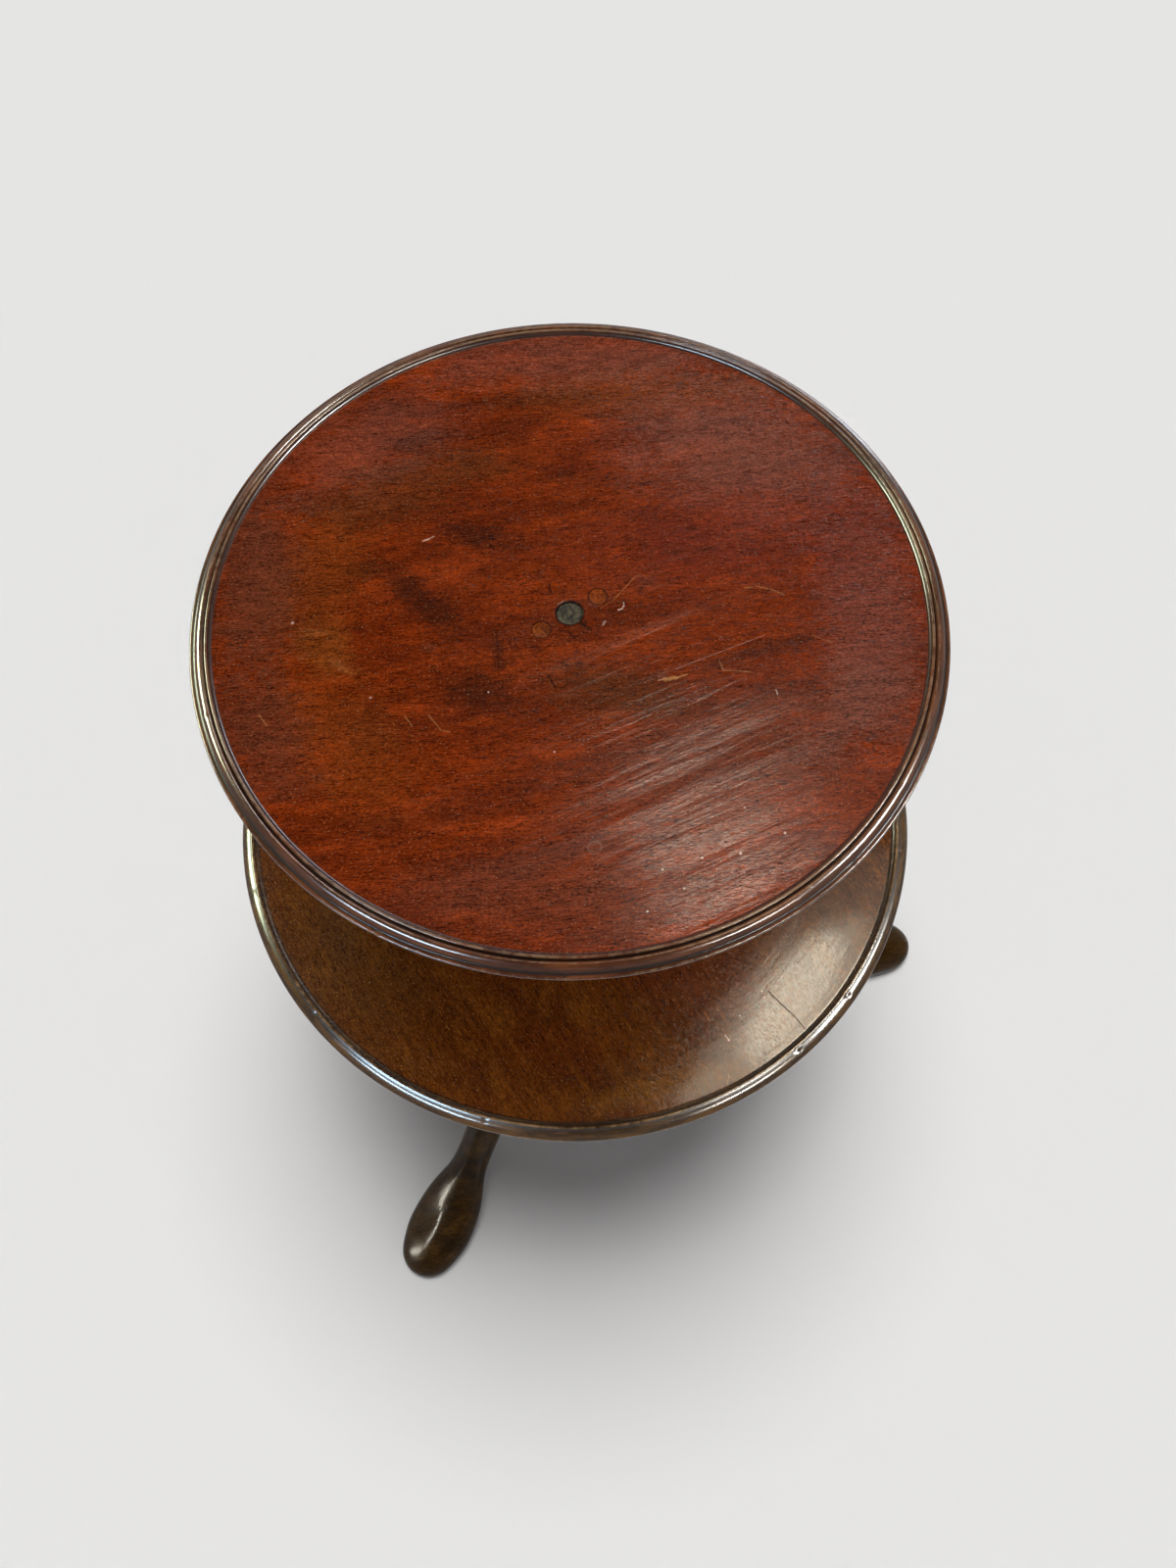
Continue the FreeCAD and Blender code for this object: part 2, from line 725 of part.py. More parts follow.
KNEE_SECTION_SHARES = (
    (0.00, -1.02), (0.80, -1.02), (1.06, -0.94), (1.04, -0.40),
    (1.04, 0.30), (1.00, 0.82), (0.66, 1.05), (0.00, 1.05),
)
FOOT_SECTION_SHARES = (
    (0.00, -1.08), (0.62, -1.06), (1.04, -0.72), (1.12, -0.22),
    (1.04, 0.28), (0.76, 0.72), (0.34, 0.98), (0.00, 1.16),
)
# Along the leg: reach, level of the middle, slope in degrees, width with the size that it
# follows, height with the size that it follows, and how much of the foot's section
LEG_STATION_SHARES = (
    (0.080, 0.975, 0.0, "knee_width", 1.00, "knee_height", 1.00, 0.0),
    (0.160, 0.960, 9.0, "knee_width", 1.00, "knee_height", 0.98, 0.0),
    (0.262, 0.896, 21.0, "knee_width", 0.98, "knee_height", 0.83, 0.2),
    (0.366, 0.780, 32.0, "knee_width", 0.94, "knee_height", 0.63, 0.5),
    (0.470, 0.612, 39.0, "knee_width", 0.90, "knee_height", 0.485, 0.8),
    (0.565, 0.440, 40.0, "ankle_width", 1.02, "ankle_height", 1.28, 1.0),
    (0.640, 0.310, 36.0, "ankle_width", 0.99, "ankle_height", 1.12, 1.0),
    (0.703, 0.222, 28.0, "foot_width", 0.58, "ankle_height", 1.04, 1.0),
    (0.761, 0.158, 20.0, "foot_width", 0.81, "ankle_height", 1.00, 1.0),
    (0.816, 0.115, 12.0, "foot_width", 0.93, "foot_height", 0.95, 1.0),
    (0.868, 0.093, 6.0, "foot_width", 0.96, "foot_height", 0.96, 1.0),
    (0.915, 0.084, 3.0, "foot_width", 0.88, "foot_height", 0.92, 1.0),
    (0.955, 0.076, 3.0, "foot_width", 0.74, "foot_height", 0.78, 1.0),
    (0.984, 0.070, 3.0, "foot_width", 0.50, "foot_height", 0.55, 1.0),
)
TIP_LEVEL_SHARE = 0.070


def section_poles(width, height, blend):
    """Control points round a section, as across and up in the section's own plane."""
    half = []
    for knee, foot in zip(KNEE_SECTION_SHARES, FOOT_SECTION_SHARES):
        across = knee[0] * (1.0 - blend) + foot[0] * blend
        up = knee[1] * (1.0 - blend) + foot[1] * blend
        half.append((across * width.value / 2.0, up * height.value / 2.0))
    mirrored = [(-across, up) for across, up in half[-2:0:-1]]
    return half + mirrored


def leg_section(reach, level, slope, width, height, blend):
    """One closed section, square to the leg's own direction."""
    lean = math.radians(slope)
    poles = []
    for across, up in section_poles(width, height, blend):
        poles.append(FreeCAD.Vector(reach.value + up * math.sin(lean), across,
                                    level.value + up * math.cos(lean)))
    curve = Part.BSplineCurve()
    curve.buildFromPoles(poles, True, 3)
    return Part.Wire([curve.toShape()])


def prism(corners, low, height):
    """A flat outline of straight and round sides, raised from a level."""
    edges = []
    for first, last, bulge in segments(corners):
        start = FreeCAD.Vector(first[0].value, first[1].value, low.value)
        end = FreeCAD.Vector(last[0].value, last[1].value, low.value)
        if bulge == 0:
            edges.append(Part.LineSegment(start, end).toShape())
            continue
        across, up = arc_centre(first, last, bulge)
        radius = arc_radius(first, last, bulge).value
        centre = FreeCAD.Vector(across, up, low.value)
        middle = centre + ((start + end) * 0.5 - centre).normalize() * radius
        edges.append(Part.Arc(start, middle, end).toShape())
    return Part.Face(Part.Wire(edges)).extrude(FreeCAD.Vector(0, 0, height.value))


def turned_solid(corners):
    """A solid turned about the upright axis through an outline's first corner."""
    points = [FreeCAD.Vector(across.value, 0, up.value) for across, up, _ in corners]
    face = Part.Face(Part.makePolygon(points + points[:1]))
    return face.revolve(points[0], FreeCAD.Vector(0, 0, 1), FULL_TURN)


def leg_solid():
    """One leg along +X: blank, flat foot, shoulder against the drum, and dovetail."""
    reach = size["leg_reach"]
    knee_level = size["drum_level"] + size["drum_height"] * 0.5
    sections = []
    for station in LEG_STATION_SHARES:
        out, up, slope, width, width_share, height, height_share, blend = station
        sections.append(leg_section(reach * out, knee_level * up, slope,
                                    size[width] * width_share,
                                    size[height] * height_share, blend))
    tip = Part.Vertex(reach.value, 0, (knee_level * TIP_LEVEL_SHARE).value)
    blank = Part.makeLoft(sections + [tip], True, False)
    overrun = size["cut_overrun"]
    side = reach + overrun
    ground = Part.makeBox(2 * side.value, 2 * side.value, side.value,
                          FreeCAD.Vector(-side.value, -side.value, -side.value))
    drum = Part.makeCylinder(size["drum_radius"].value, (drum_top + side).value)
    seat_depth = size["knee_height"]
    seat = prism(strap_arm_corners(size["strap_reach"]),
                 size["drum_level"] - seat_depth, seat_depth)
    screw = turned_solid(screw_corners(size["strap_outer_screw_place"], strap_underside,
                                       size["strap_screw_length"], True))
    dovetail = prism(dovetail_outline(ZERO), size["drum_level"], size["dovetail_length"])
    return blank.cut([ground, drum, seat, screw]).fuse(dovetail).removeSplitter()


def make_legs():
    """Three legs alike, evenly round the drum."""
    solid = leg_solid()
    for index, name in enumerate(("leg_right", "leg_back_left", "leg_front_left")):
        leg = document.addObject("Part::Feature", name)
        leg.Label = name
        leg.Shape = solid
        bearing = size["leg_bearing"].value + FULL_TURN * index / LEG_COUNT
        leg.Placement = FreeCAD.Placement(FreeCAD.Vector(0, 0, 0),
                                          FreeCAD.Rotation(FreeCAD.Vector(0, 0, 1), bearing))


def centre_on_origin(pieces):
    """Move the table so that the middle of its outline on the ground is the origin."""
    outline = FreeCAD.BoundBox()
    for piece in pieces:
        outline.add(piece.Shape.optimalBoundingBox(False, False))
    for piece in pieces:
        place = piece.Placement
        place.Base = FreeCAD.Vector(-outline.Center.x, -outline.Center.y, 0)
        piece.Placement = place
    document.recompute()
    print(f"column's axis at {-outline.Center.x:.3f}, {-outline.Center.y:.3f}")


def check_model(pieces):
    """Stop with a plain message if anything failed, is not valid or cut nothing."""
    for item in document.Objects:
        if "Invalid" in item.State or "Error" in item.State:
            raise RuntimeError(f"{item.Label} failed: {item.State}")
        if item.TypeId in ("PartDesign::Pocket", "PartDesign::Groove"):
            if item.Shape.Volume >= item.BaseFeature.Shape.Volume:
                raise RuntimeError(f"{item.Label} cuts nothing")
    for piece in pieces:
        if piece.Shape.isNull() or not piece.Shape.isValid():
            raise RuntimeError(f"{piece.Label} is not a valid solid")


make_upper_tray()
make_lower_tray()
make_tray_fittings()
make_pivot()
make_pedestal()
make_upper_column()
make_strap()
make_strap_screws()
make_legs()
document.recompute()

sub_parts = [item for item in document.Objects
             if item.TypeId in ("PartDesign::Body", "Part::Feature")]
centre_on_origin(sub_parts)
check_model(sub_parts)
os.makedirs("parts", exist_ok=True)
for piece in sub_parts:
    piece.Shape.exportStep(f"parts/{piece.Label}.step")
    solids = len(piece.Shape.Solids)
    print(f"{piece.Label}: {solids} solid(s), {piece.Shape.Volume / 1000:.1f} cm3")
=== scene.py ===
import math
import bpy
import numpy
from mathutils import Matrix, Vector, noise


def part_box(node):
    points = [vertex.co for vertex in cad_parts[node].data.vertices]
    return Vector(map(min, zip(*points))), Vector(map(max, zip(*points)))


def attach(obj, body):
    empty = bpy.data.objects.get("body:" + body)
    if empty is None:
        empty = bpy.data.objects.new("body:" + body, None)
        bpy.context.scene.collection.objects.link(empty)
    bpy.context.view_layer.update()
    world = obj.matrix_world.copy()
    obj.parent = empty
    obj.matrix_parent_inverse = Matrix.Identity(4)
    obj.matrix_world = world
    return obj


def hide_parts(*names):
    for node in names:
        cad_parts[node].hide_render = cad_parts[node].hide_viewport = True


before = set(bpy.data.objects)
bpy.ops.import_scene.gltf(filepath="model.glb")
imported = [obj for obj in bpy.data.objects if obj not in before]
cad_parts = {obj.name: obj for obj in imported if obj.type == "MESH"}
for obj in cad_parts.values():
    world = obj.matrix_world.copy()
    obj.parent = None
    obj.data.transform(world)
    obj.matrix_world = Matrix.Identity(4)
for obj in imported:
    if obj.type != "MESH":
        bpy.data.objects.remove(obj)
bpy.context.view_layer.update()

MM = 0.001

# Places read from the frame: the column's axis and the levels of the two floors
upper_low, upper_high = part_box("upper_tray")
lower_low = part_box("lower_tray")[0]
axis = (upper_low + upper_high) * 0.5
upper_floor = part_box("upper_screw_pellets")[1].z
lower_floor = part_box("lower_screw_pellets")[1].z


def on_axis(place):
    """A place given from the column's axis, in the frame's own coordinates."""
    return Vector((axis.x + place[0], axis.y + place[1], place[2]))


def radius_of(node):
    """How far a round node reaches from its own middle."""
    low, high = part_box(node)
    return (high.x - low.x) * 0.5


# Camera and light

CAMERA_FROM_AXIS = Vector((0.0, -0.5328, 1.6397))
CAMERA_BEARING = math.radians(1.258)
CAMERA_DIP = math.radians(64.912)
CAMERA_ROLL = math.radians(-0.406)
PICTURE_HEIGHT_PIXELS = 1600.0
FOCAL_PIXELS = 1500.0
SENSOR_HEIGHT_MM = 36.0


def make_camera():
    """The photograph's own viewpoint: above the front edge, looking steeply down."""
    data = bpy.data.cameras.new("camera")
    data.sensor_width = SENSOR_HEIGHT_MM
    data.lens = SENSOR_HEIGHT_MM * FOCAL_PIXELS / PICTURE_HEIGHT_PIXELS
    camera = bpy.data.objects.new("camera", data)
    bpy.context.collection.objects.link(camera)
    turn = Matrix.Rotation(-CAMERA_BEARING, 4, "Z")
    dip = Matrix.Rotation(math.pi / 2 - CAMERA_DIP, 4, "X")
    roll = Matrix.Rotation(CAMERA_ROLL, 4, "Z")
    camera.matrix_world = Matrix.Translation(on_axis(CAMERA_FROM_AXIS)) @ turn @ dip @ roll
    bpy.context.scene.camera = camera


def add_lamp(name, kind, strength, colour, **settings):
    """A lamp that the camera doesn't see."""
    data = bpy.data.lights.new(name, kind)
    data.energy = strength
    data.color = colour
    for setting, value in settings.items():
        setattr(data, setting, value)
    lamp = bpy.data.objects.new(name, data)
    bpy.context.collection.objects.link(lamp)
    lamp.visible_camera = False
    return lamp


def add_sun(name, bearing, height, width, strength, colour):
    """A round far light: bearing from +X, height over the floor and width in degrees."""
    lamp = add_lamp(name, "SUN", strength, colour, angle=math.radians(width))
    turn = math.radians(bearing)
    rise = math.radians(height)
    aim = Vector((math.cos(rise) * math.cos(turn), math.cos(rise) * math.sin(turn),
                  math.sin(rise)))
    lamp.rotation_euler = aim.to_track_quat("Z", "Y").to_euler()
    return lamp


def add_box(name, place, size, strength, colour):
    """A soft box at a place from the column's axis, aimed at the middle of the upper tray."""
    lamp = add_lamp(name, "AREA", strength, colour, shape="RECTANGLE", size=size[0],
                    size_y=size[1])
    lamp.location = on_axis(place)
    aim = Vector(place) - Vector((0, 0, upper_floor))
    lamp.rotation_euler = aim.to_track_quat("Z", "Y").to_euler()
    return lamp


def add_glow(name, place, size, turn, strength, colour):
    """A flat oval lamp a little over the lower tray, shining straight down on it."""
    lamp = add_lamp(name, "AREA", strength, colour, shape="ELLIPSE", size=size[0],
                    size_y=size[1])
    lamp.location = on_axis((place[0], place[1], lower_floor + place[2]))
    lamp.rotation_euler = (0, 0, math.radians(turn))
    return lamp


def light_only(lamp, pieces):
    """Let a lamp light some pieces only."""
    lit = bpy.data.collections.new(f"{lamp.name}_lit")
    for piece in pieces:
        lit.objects.link(piece)
    lamp.light_linking.receiver_collection = lit


# Suns: bearing, height and width in degrees, strength, colour, and the pieces they light
FLOOR_SUNS = (
    ("floor_key", 82, 81.5, 30, 2.52, (1.0, 0.994, 0.985), "stage"),
    ("floor_fill", 200, 50, 120, 0.22, (1.0, 1.0, 1.0), "stage"),
)
MATT_SUNS = (
    ("key_light", 96, 80, 26, 2.35, (1.0, 0.985, 0.96), "table"),
    ("fill_light", 262, 48, 90, 0.75, (1.0, 0.97, 0.92), "others"),
    ("lower_fill", 262, 66, 70, 2.5, (1.0, 0.975, 0.94), "lower"),
    ("left_fill", 170, 24, 90, 0.35, (0.97, 0.98, 1.0), "others"),
    ("rear_fill", 50, 24, 90, 0.60, (1.0, 0.98, 0.95), "others"),
)
SHEEN_SUNS = (
    ("upper_sheen", 74, 68, 6, 0.28, (1.0, 0.87, 0.70), "upper"),
)
# Ovals: place from the axis and over the lower tray, size, turn in degrees, strength,
# colour, and the pieces they light
GLOWS = (
    ("lower_glow_core", (0.208, -0.119, 0.2), (0.160, 0.052), 52, 0.72, (1.0, 0.96, 0.76), "lower"),
    ("lower_glow_edge", (0.184, -0.153, 0.2), (0.310, 0.064), 47, 0.60, (1.0, 0.95, 0.74), "lower"),
    ("lower_glow_haze", (0.222, -0.110, 0.2), (0.360, 0.120), 52, 0.36, (1.0, 0.95, 0.76), "lower"),
)
# Soft boxes: place from the axis, size, strength, colour, and the pieces they light
BOXES = (
    ("right_box", (2.0, -0.40, 2.35), (0.9, 0.2), 115, (1.0, 0.97, 0.90), "trays"),
    ("left_box", (-1.95, 0.72, 1.76), (1.0, 0.5), 85, (0.90, 1.0, 0.68), "trays"),
    ("window_box", (-1.50, -1.60, 2.30), (1.15, 0.24), 70, (0.60, 0.82, 1.0), "trays"),
    ("front_box", (1.55, -1.75, 2.30), (0.8, 0.20), 48, (1.0, 0.95, 0.86), "trays"),
    ("back_box", (0.75, 1.90, 2.05), (0.9, 0.25), 20, (0.80, 0.90, 1.0), "trays"),
)
LEG_BOXES = (
    ("leg_box", (-1.2, -0.4, 2.6), (0.12, 1.1), 52, (1.0, 0.95, 0.80), "others"),
    ("leg_low_box", (-1.67, -0.49, 1.15), (0.10, 0.8), 30, (1.0, 0.95, 0.80), "others"),
)


def make_lights(stage, upper, lower, others):
    """Suns for the floor and the wood, and lamps that only show as shine."""
    lit = {"stage": stage, "upper": upper, "lower": lower, "others": others,
           "trays": upper + lower, "table": upper + lower + others}
    for *settings, pieces in FLOOR_SUNS:
        light_only(add_sun(*settings), lit[pieces])
    for *settings, pieces in MATT_SUNS:
        lamp = add_sun(*settings)
        lamp.visible_glossy = False
        light_only(lamp, lit[pieces])
    sheens = [(add_sun(*settings), pieces) for *settings, pieces in SHEEN_SUNS]
    glows = [(add_glow(*settings), pieces) for *settings, pieces in GLOWS]
    boxes = [(add_box(*settings), pieces) for *settings, pieces in BOXES]
    leg_boxes = [(add_box(*settings), pieces) for *settings, pieces in LEG_BOXES]
    for lamp, pieces in boxes + glows + sheens + leg_boxes:
        lamp.visible_diffuse = False
        light_only(lamp, lit[pieces])


AIR_COLOUR = (0.95, 0.97, 1.0, 1.0)
AIR_STRENGTH = 0.035


def make_world():
    """Dim air for the light, which the camera sees as bright as the backdrop."""
    world = bpy.data.worlds.new("studio_air")
    world.use_nodes = True
    nodes = world.node_tree.nodes
    w = Wiring(world.node_tree)
    dim = nodes["Background"]
    w.feed(dim.inputs["Color"], AIR_COLOUR)
    w.feed(dim.inputs["Strength"], AIR_STRENGTH)
    pale = w.node("ShaderNodeBackground", {"Color": BACKDROP_TONE, "Strength": 1.0})
    seen = w.node("ShaderNodeLightPath").outputs["Is Camera Ray"]
    mixed = w.mix_shader(seen, dim.outputs[0], pale.outputs[0])
    w.feed(nodes["World Output"].inputs["Surface"], mixed)
    bpy.context.scene.world = world
    bpy.context.scene.view_settings.view_transform = "Standard"


# Outlines are lists of corners: radius, level, and the bulge of the side that ends there.
# A bulge is the tangent of a quarter of the arc's angle, and zero is a straight side

ARC_STEP = math.radians(14)
QUARTER_BULGE = math.tan(math.pi / 8)
SHARP_TURN = math.radians(24)
CORNER_SOFTNESS = 0.35 * MM
CORNER_SEGMENTS = 3
MERGE_REACH = 0.002 * MM
TURNED_SMOOTH_ANGLE = math.radians(40)


def arc_points(first, last, bulge):
    """The points between the two ends of an arc."""
    start = Vector(first[:2])
    chord = Vector(last[:2]) - start
    lean = (1 - bulge * bulge) / (4 * bulge)
    centre = start + chord * 0.5 + Vector((-chord.y, chord.x)) * lean
    angle = 4 * math.atan(bulge)
    steps = max(2, math.ceil(abs(angle) / ARC_STEP))
    return [tuple(centre + Matrix.Rotation(angle * step / steps, 2) @ (start - centre))
            for step in range(1, steps)]


def outline_points(corners):
    """Points along a closed outline, with its round sides in short steps."""
    points = []
    for first, last in zip([corners[-1]] + corners[:-1], corners):
        if last[2]:
            points += arc_points(first, last, last[2])
        points.append(tuple(last[:2]))
    return points


def deselect():
    """Leave no object selected."""
    bpy.ops.object.select_all(action="DESELECT")


def take_up(piece):
    """Make one object the selected and active one."""
    deselect()
    piece.select_set(True)
    bpy.context.view_layer.objects.active = piece


def draw_profile(name, points, closed):
    """A chain of edges in the plane of X and Z, drawn point by point."""
    deselect()
    first = points[0]
    bpy.ops.mesh.primitive_plane_add(size=MM, location=(first[0], 0, first[1]))
    piece = bpy.context.object
    piece.name = name
    piece.data.name = name
    bpy.ops.object.transform_apply(location=True, rotation=False, scale=False)
    bpy.ops.object.mode_set(mode="EDIT")
    bpy.ops.mesh.select_all(action="SELECT")
    bpy.ops.mesh.merge(type="CENTER")
    for start, end in zip(points, points[1:]):
        step = (end[0] - start[0], 0, end[1] - start[1])
        bpy.ops.mesh.extrude_vertices_move(TRANSFORM_OT_translate={"value": step})
    if closed:
        ends = [0, len(points) - 1]
        bpy.ops.object.mode_set(mode="OBJECT")
        for vertex in piece.data.vertices:
            vertex.select = vertex.index in ends
        bpy.ops.object.mode_set(mode="EDIT")
        bpy.ops.mesh.edge_face_add()
    return piece


def soften_profile(piece, points, softness):
    """Round the sharp corners of a drawn profile."""
    bpy.ops.object.mode_set(mode="OBJECT")
    sharp = sharp_corners(points)
    for vertex in piece.data.vertices:
        vertex.select = vertex.index in sharp
    for edge in piece.data.edges:
        edge.select = False
    bpy.ops.object.mode_set(mode="EDIT")
    bpy.ops.mesh.bevel(offset=softness, segments=CORNER_SEGMENTS, affect="VERTICES",
                       clamp_overlap=True)


def sharp_corners(points):
    """Which points of an outline turn sharply, apart from those on the axis."""
    sharp = set()
    for index, point in enumerate(points):
        before = Vector(point) - Vector(points[index - 1])
        after = Vector(points[(index + 1) % len(points)]) - Vector(point)
        if point[0] > MM and abs(before.angle_signed(after)) > SHARP_TURN:
            sharp.add(index)
    return sharp


def turn_piece(name, corners, sides, softness=CORNER_SOFTNESS, about=(0, 0), closed=True):
    """A turned piece: its outline drawn, softened at the corners and spun round an axis."""
    points = outline_points(corners)
    piece = draw_profile(name, points, closed)
    if softness:
        soften_profile(piece, points, softness)
    bpy.ops.object.mode_set(mode="OBJECT")
    turned = piece.modifiers.new("turned", "SCREW")
    turned.steps = sides
    turned.render_steps = sides
    turned.use_merge_vertices = True
    turned.merge_threshold = MERGE_REACH
    bpy.ops.object.modifier_apply(modifier=turned.name)
    bpy.ops.object.mode_set(mode="EDIT")
    bpy.ops.mesh.select_all(action="SELECT")
    if closed:
        bpy.ops.mesh.normals_make_consistent(inside=False)
    bpy.ops.object.mode_set(mode="OBJECT")
    piece.data.transform(Matrix.Translation(on_axis((about[0], about[1], 0))))
    piece.data.update()
    bpy.ops.object.shade_smooth_by_angle(angle=TURNED_SMOOTH_ANGLE)
    return piece


SHARPEST_BEND = 900.0
SHORTEST_EDGE_SQUARED = 1e-12


def read_points(mesh, kind):
    """The places or the normals of a mesh's points, as rows of three."""
    numbers = numpy.empty(len(mesh.vertices) * 3)
    mesh.vertices.foreach_get(kind, numbers)
    return numbers.reshape(-1, 3)


def relief_of(mesh):
    """How sharply each point of a mesh stands out (more than zero) or lies in a hollow."""
    places = read_points(mesh, "co")
    normals = read_points(mesh, "normal")
    ends = numpy.empty(len(mesh.edges) * 2, dtype=int)
    mesh.edges.foreach_get("vertices", ends)
    first, last = ends.reshape(-1, 2).T
    span = places[last] - places[first]
    reach = (span ** 2).sum(axis=1) + SHORTEST_EDGE_SQUARED
    rise = numpy.zeros(len(places))
    fall = numpy.zeros(len(places))
    for near, way in ((first, span), (last, -span)):
        bend = -2 * (way * normals[near]).sum(axis=1) / reach
        numpy.maximum.at(rise, near, bend)
        numpy.minimum.at(fall, near, bend)
    return rise + fall


def mark_relief(piece):
    """Store the relief of a mesh, from -1 in a tight hollow to 1 on a tight edge."""
    relief = numpy.clip(relief_of(piece.data) / SHARPEST_BEND, -1, 1)
    stored = piece.data.attributes.new("relief", "FLOAT", "POINT")
    stored.data.foreach_set("value", relief.astype(numpy.float32))


# Trays: the same moulded outlines as the solids, with softened corners, fine rings in the
# floor and the dents of long use. Rims: share of the width in from the edge, share of the
# height down from the crest, and bulge

UPPER_RIM_SHARES = (
    (0.060, 1.36, 0.20),
    (0.075, 0.96, 0.75),
    (0.220, 0.93, 0.00),
    (0.237, 0.85, 0.00),
    (0.530, 0.12, 0.30),
    (0.650, 0.43, 0.32),
    (0.680, 0.50, 0.00),
    (0.712, 0.16, 0.00),
    (0.850, 0.12, 0.85),
)
LOWER_RIM_SHARES = (
    (0.030, 1.42, 0.20),
    (0.045, 1.00, 0.35),
    (0.545, 0.10, 0.20),
    (0.690, 0.12, 0.45),
    (0.712, 0.24, 0.00),
)
# Dents: bearing in degrees, then millimetres in from the edge, down from the crest, reach
# and depth
UPPER_DENTS = (
    (-47.1, 2.2, 5.4, 2.6, 0.9), (-119.4, 1.6, 6.4, 4.5, 1.1), (-72.0, 2.0, 5.8, 2.2, 0.6),
    (-20.0, 9.0, 1.2, 2.0, 0.4), (-33.0, 8.6, 1.2, 1.8, 0.4), (38.0, 2.0, 5.6, 2.4, 0.6),
    (101.0, 8.8, 1.0, 2.2, 0.5), (151.0, 2.2, 5.6, 2.8, 0.7), (197.0, 8.4, 1.2, 2.4, 0.5),
    (214.0, 2.2, 5.8, 2.0, 0.5), (268.0, 2.0, 6.0, 2.4, 0.6), (12.0, 2.4, 5.4, 1.8, 0.5),
)
LOWER_DENTS = (
    (-51.8, 7.6, 0.6, 3.4, 1.4), (-38.9, 7.2, 0.6, 3.6, 1.5), (-5.8, 8.0, 0.6, 2.6, 0.8),
    (-10.7, 7.8, 0.6, 2.6, 0.8), (-106.0, 7.4, 0.6, 2.6, 0.8), (-140.0, 7.8, 0.6, 3.0, 0.9),
    (-86.0, 6.0, 1.2, 2.2, 0.5), (-165.0, 5.0, 1.6, 2.8, 0.7), (24.0, 7.0, 0.8, 3.0, 0.8),
    (75.0, 7.4, 0.8, 2.6, 0.7), (120.0, 7.2, 0.8, 3.2, 0.8), (168.0, 5.0, 1.6, 2.4, 0.6),
)
FLOOR_COVE_BULGE = -0.30
EDGE_RUN = 8.0 * MM
TRAY_SIDES = 900
FLOOR_RING_STEP = 12.0 * MM
FLOOR_RING_LEAST_STEP = 1.0 * MM
FLOOR_RING_RADIUS_SHARE = 0.18
FIRST_RING_INSET = 0.8 * MM
LAST_RING_MARGIN = 1.08
PIVOT_BORE_GAP = 0.3 * MM
PIVOT_BORE_DEPTH = 4.6 * MM
SHANK_HOLE_RADIUS = 5.6 * MM
LOWER_BORE_RADIUS = 20.1 * MM
PELLET_RADIUS = 6.35 * MM
PELLET_DEPTH = 5.0 * MM
PELLET_SINK = 0.05 * MM
PELLET_GAP = 0.12 * MM
PELLET_RING_SHARE = 0.6
PELLET_SOFTNESS = 0.25 * MM
PELLET_SIDES = 64
PELLET_HOLE_SIDES = 72
DENT_PUSH_IN = 0.6
DENT_PUSH_DOWN = 0.8
FLOOR_REACH = 0.01 * MM
FLOOR_WARP = 0.16 * MM
FLOOR_WARP_PITCH = 85.0 * MM
FLOOR_WARP_RIM_FADE = 20.0 * MM
FLOOR_WARP_MIDDLE_FADE = 60.0 * MM


def pellet_places(reach, bearing):
    """Middles of the two pellets of a tray, from the column's axis."""
    x = reach * math.cos(math.radians(bearing))
    y = reach * math.sin(math.radians(bearing))
    return [(x, y), (-x, -y)]


UPPER_SHAPE = {
    "underside": upper_low.z,
    "floor": upper_floor,
    "radius": 260.0 * MM,
    "rim_width": 16.0 * MM,
    "rim_height": 6.6 * MM,
    "crest_rise": 3.6 * MM,
    "rim": UPPER_RIM_SHARES,
    "dents": UPPER_DENTS,
    "pellets": pellet_places(23.3 * MM, 32.8),
}
LOWER_SHAPE = {
    "underside": lower_low.z,
    "floor": lower_floor,
    "radius": 293.0 * MM,
    "rim_width": 15.4 * MM,
    "rim_height": 5.4 * MM,
    "crest_rise": 4.6 * MM,
    "rim": LOWER_RIM_SHARES,
    "dents": LOWER_DENTS,
    "pellets": pellet_places(40.0 * MM, 0.0),
}


def floor_rings(outer, inner, level):
    """Rings of a tray's floor, closer together near the middle."""
    rings = [(outer - FIRST_RING_INSET, level, 0)]
    radius = outer - FLOOR_RING_STEP * 0.5
    while radius > inner * LAST_RING_MARGIN:
        rings.append((radius, level, 0))
        step = max(FLOOR_RING_LEAST_STEP, radius * FLOOR_RING_RADIUS_SHARE)
        radius -= min(FLOOR_RING_STEP, step)
    return rings


def cut_pellet_holes(tray, places, level):
    """Cut the two shallow holes that the pellets fill."""
    for x, y in places:
        deselect()
        bpy.ops.mesh.primitive_cylinder_add(
            vertices=PELLET_HOLE_SIDES, radius=PELLET_RADIUS + PELLET_GAP,
            depth=2 * PELLET_DEPTH, location=on_axis((x, y, level)))
        cutter = bpy.context.object
        take_up(tray)
        cut = tray.modifiers.new("pellet_hole", "BOOLEAN")
        cut.operation = "DIFFERENCE"
        cut.object = cutter
        cut.solver = "MANIFOLD"
        bpy.ops.object.modifier_apply(modifier=cut.name)
        bpy.data.objects.remove(cutter, do_unlink=True)


def press_dents(tray, dents, radius, crest):
    """Press the small nicks of long use into a rim."""
    places = read_points(tray.data, "co")
    for bearing, inset, drop, reach, depth in dents:
        angle = math.radians(bearing)
        out = Vector((math.cos(angle), math.sin(angle), 0))
        middle = on_axis((0, 0, crest - drop * MM)) + out * (radius - inset * MM)
        push = (-out * DENT_PUSH_IN - Vector((0, 0, DENT_PUSH_DOWN))) * depth * MM
        away = numpy.linalg.norm(places - numpy.array(middle), axis=1) / (reach * MM)
        share = numpy.clip(1 - away ** 2, 0, 1) ** 2
        places += share[:, None] * numpy.array(push)
    tray.data.vertices.foreach_set("co", places.ravel())
    tray.data.update()


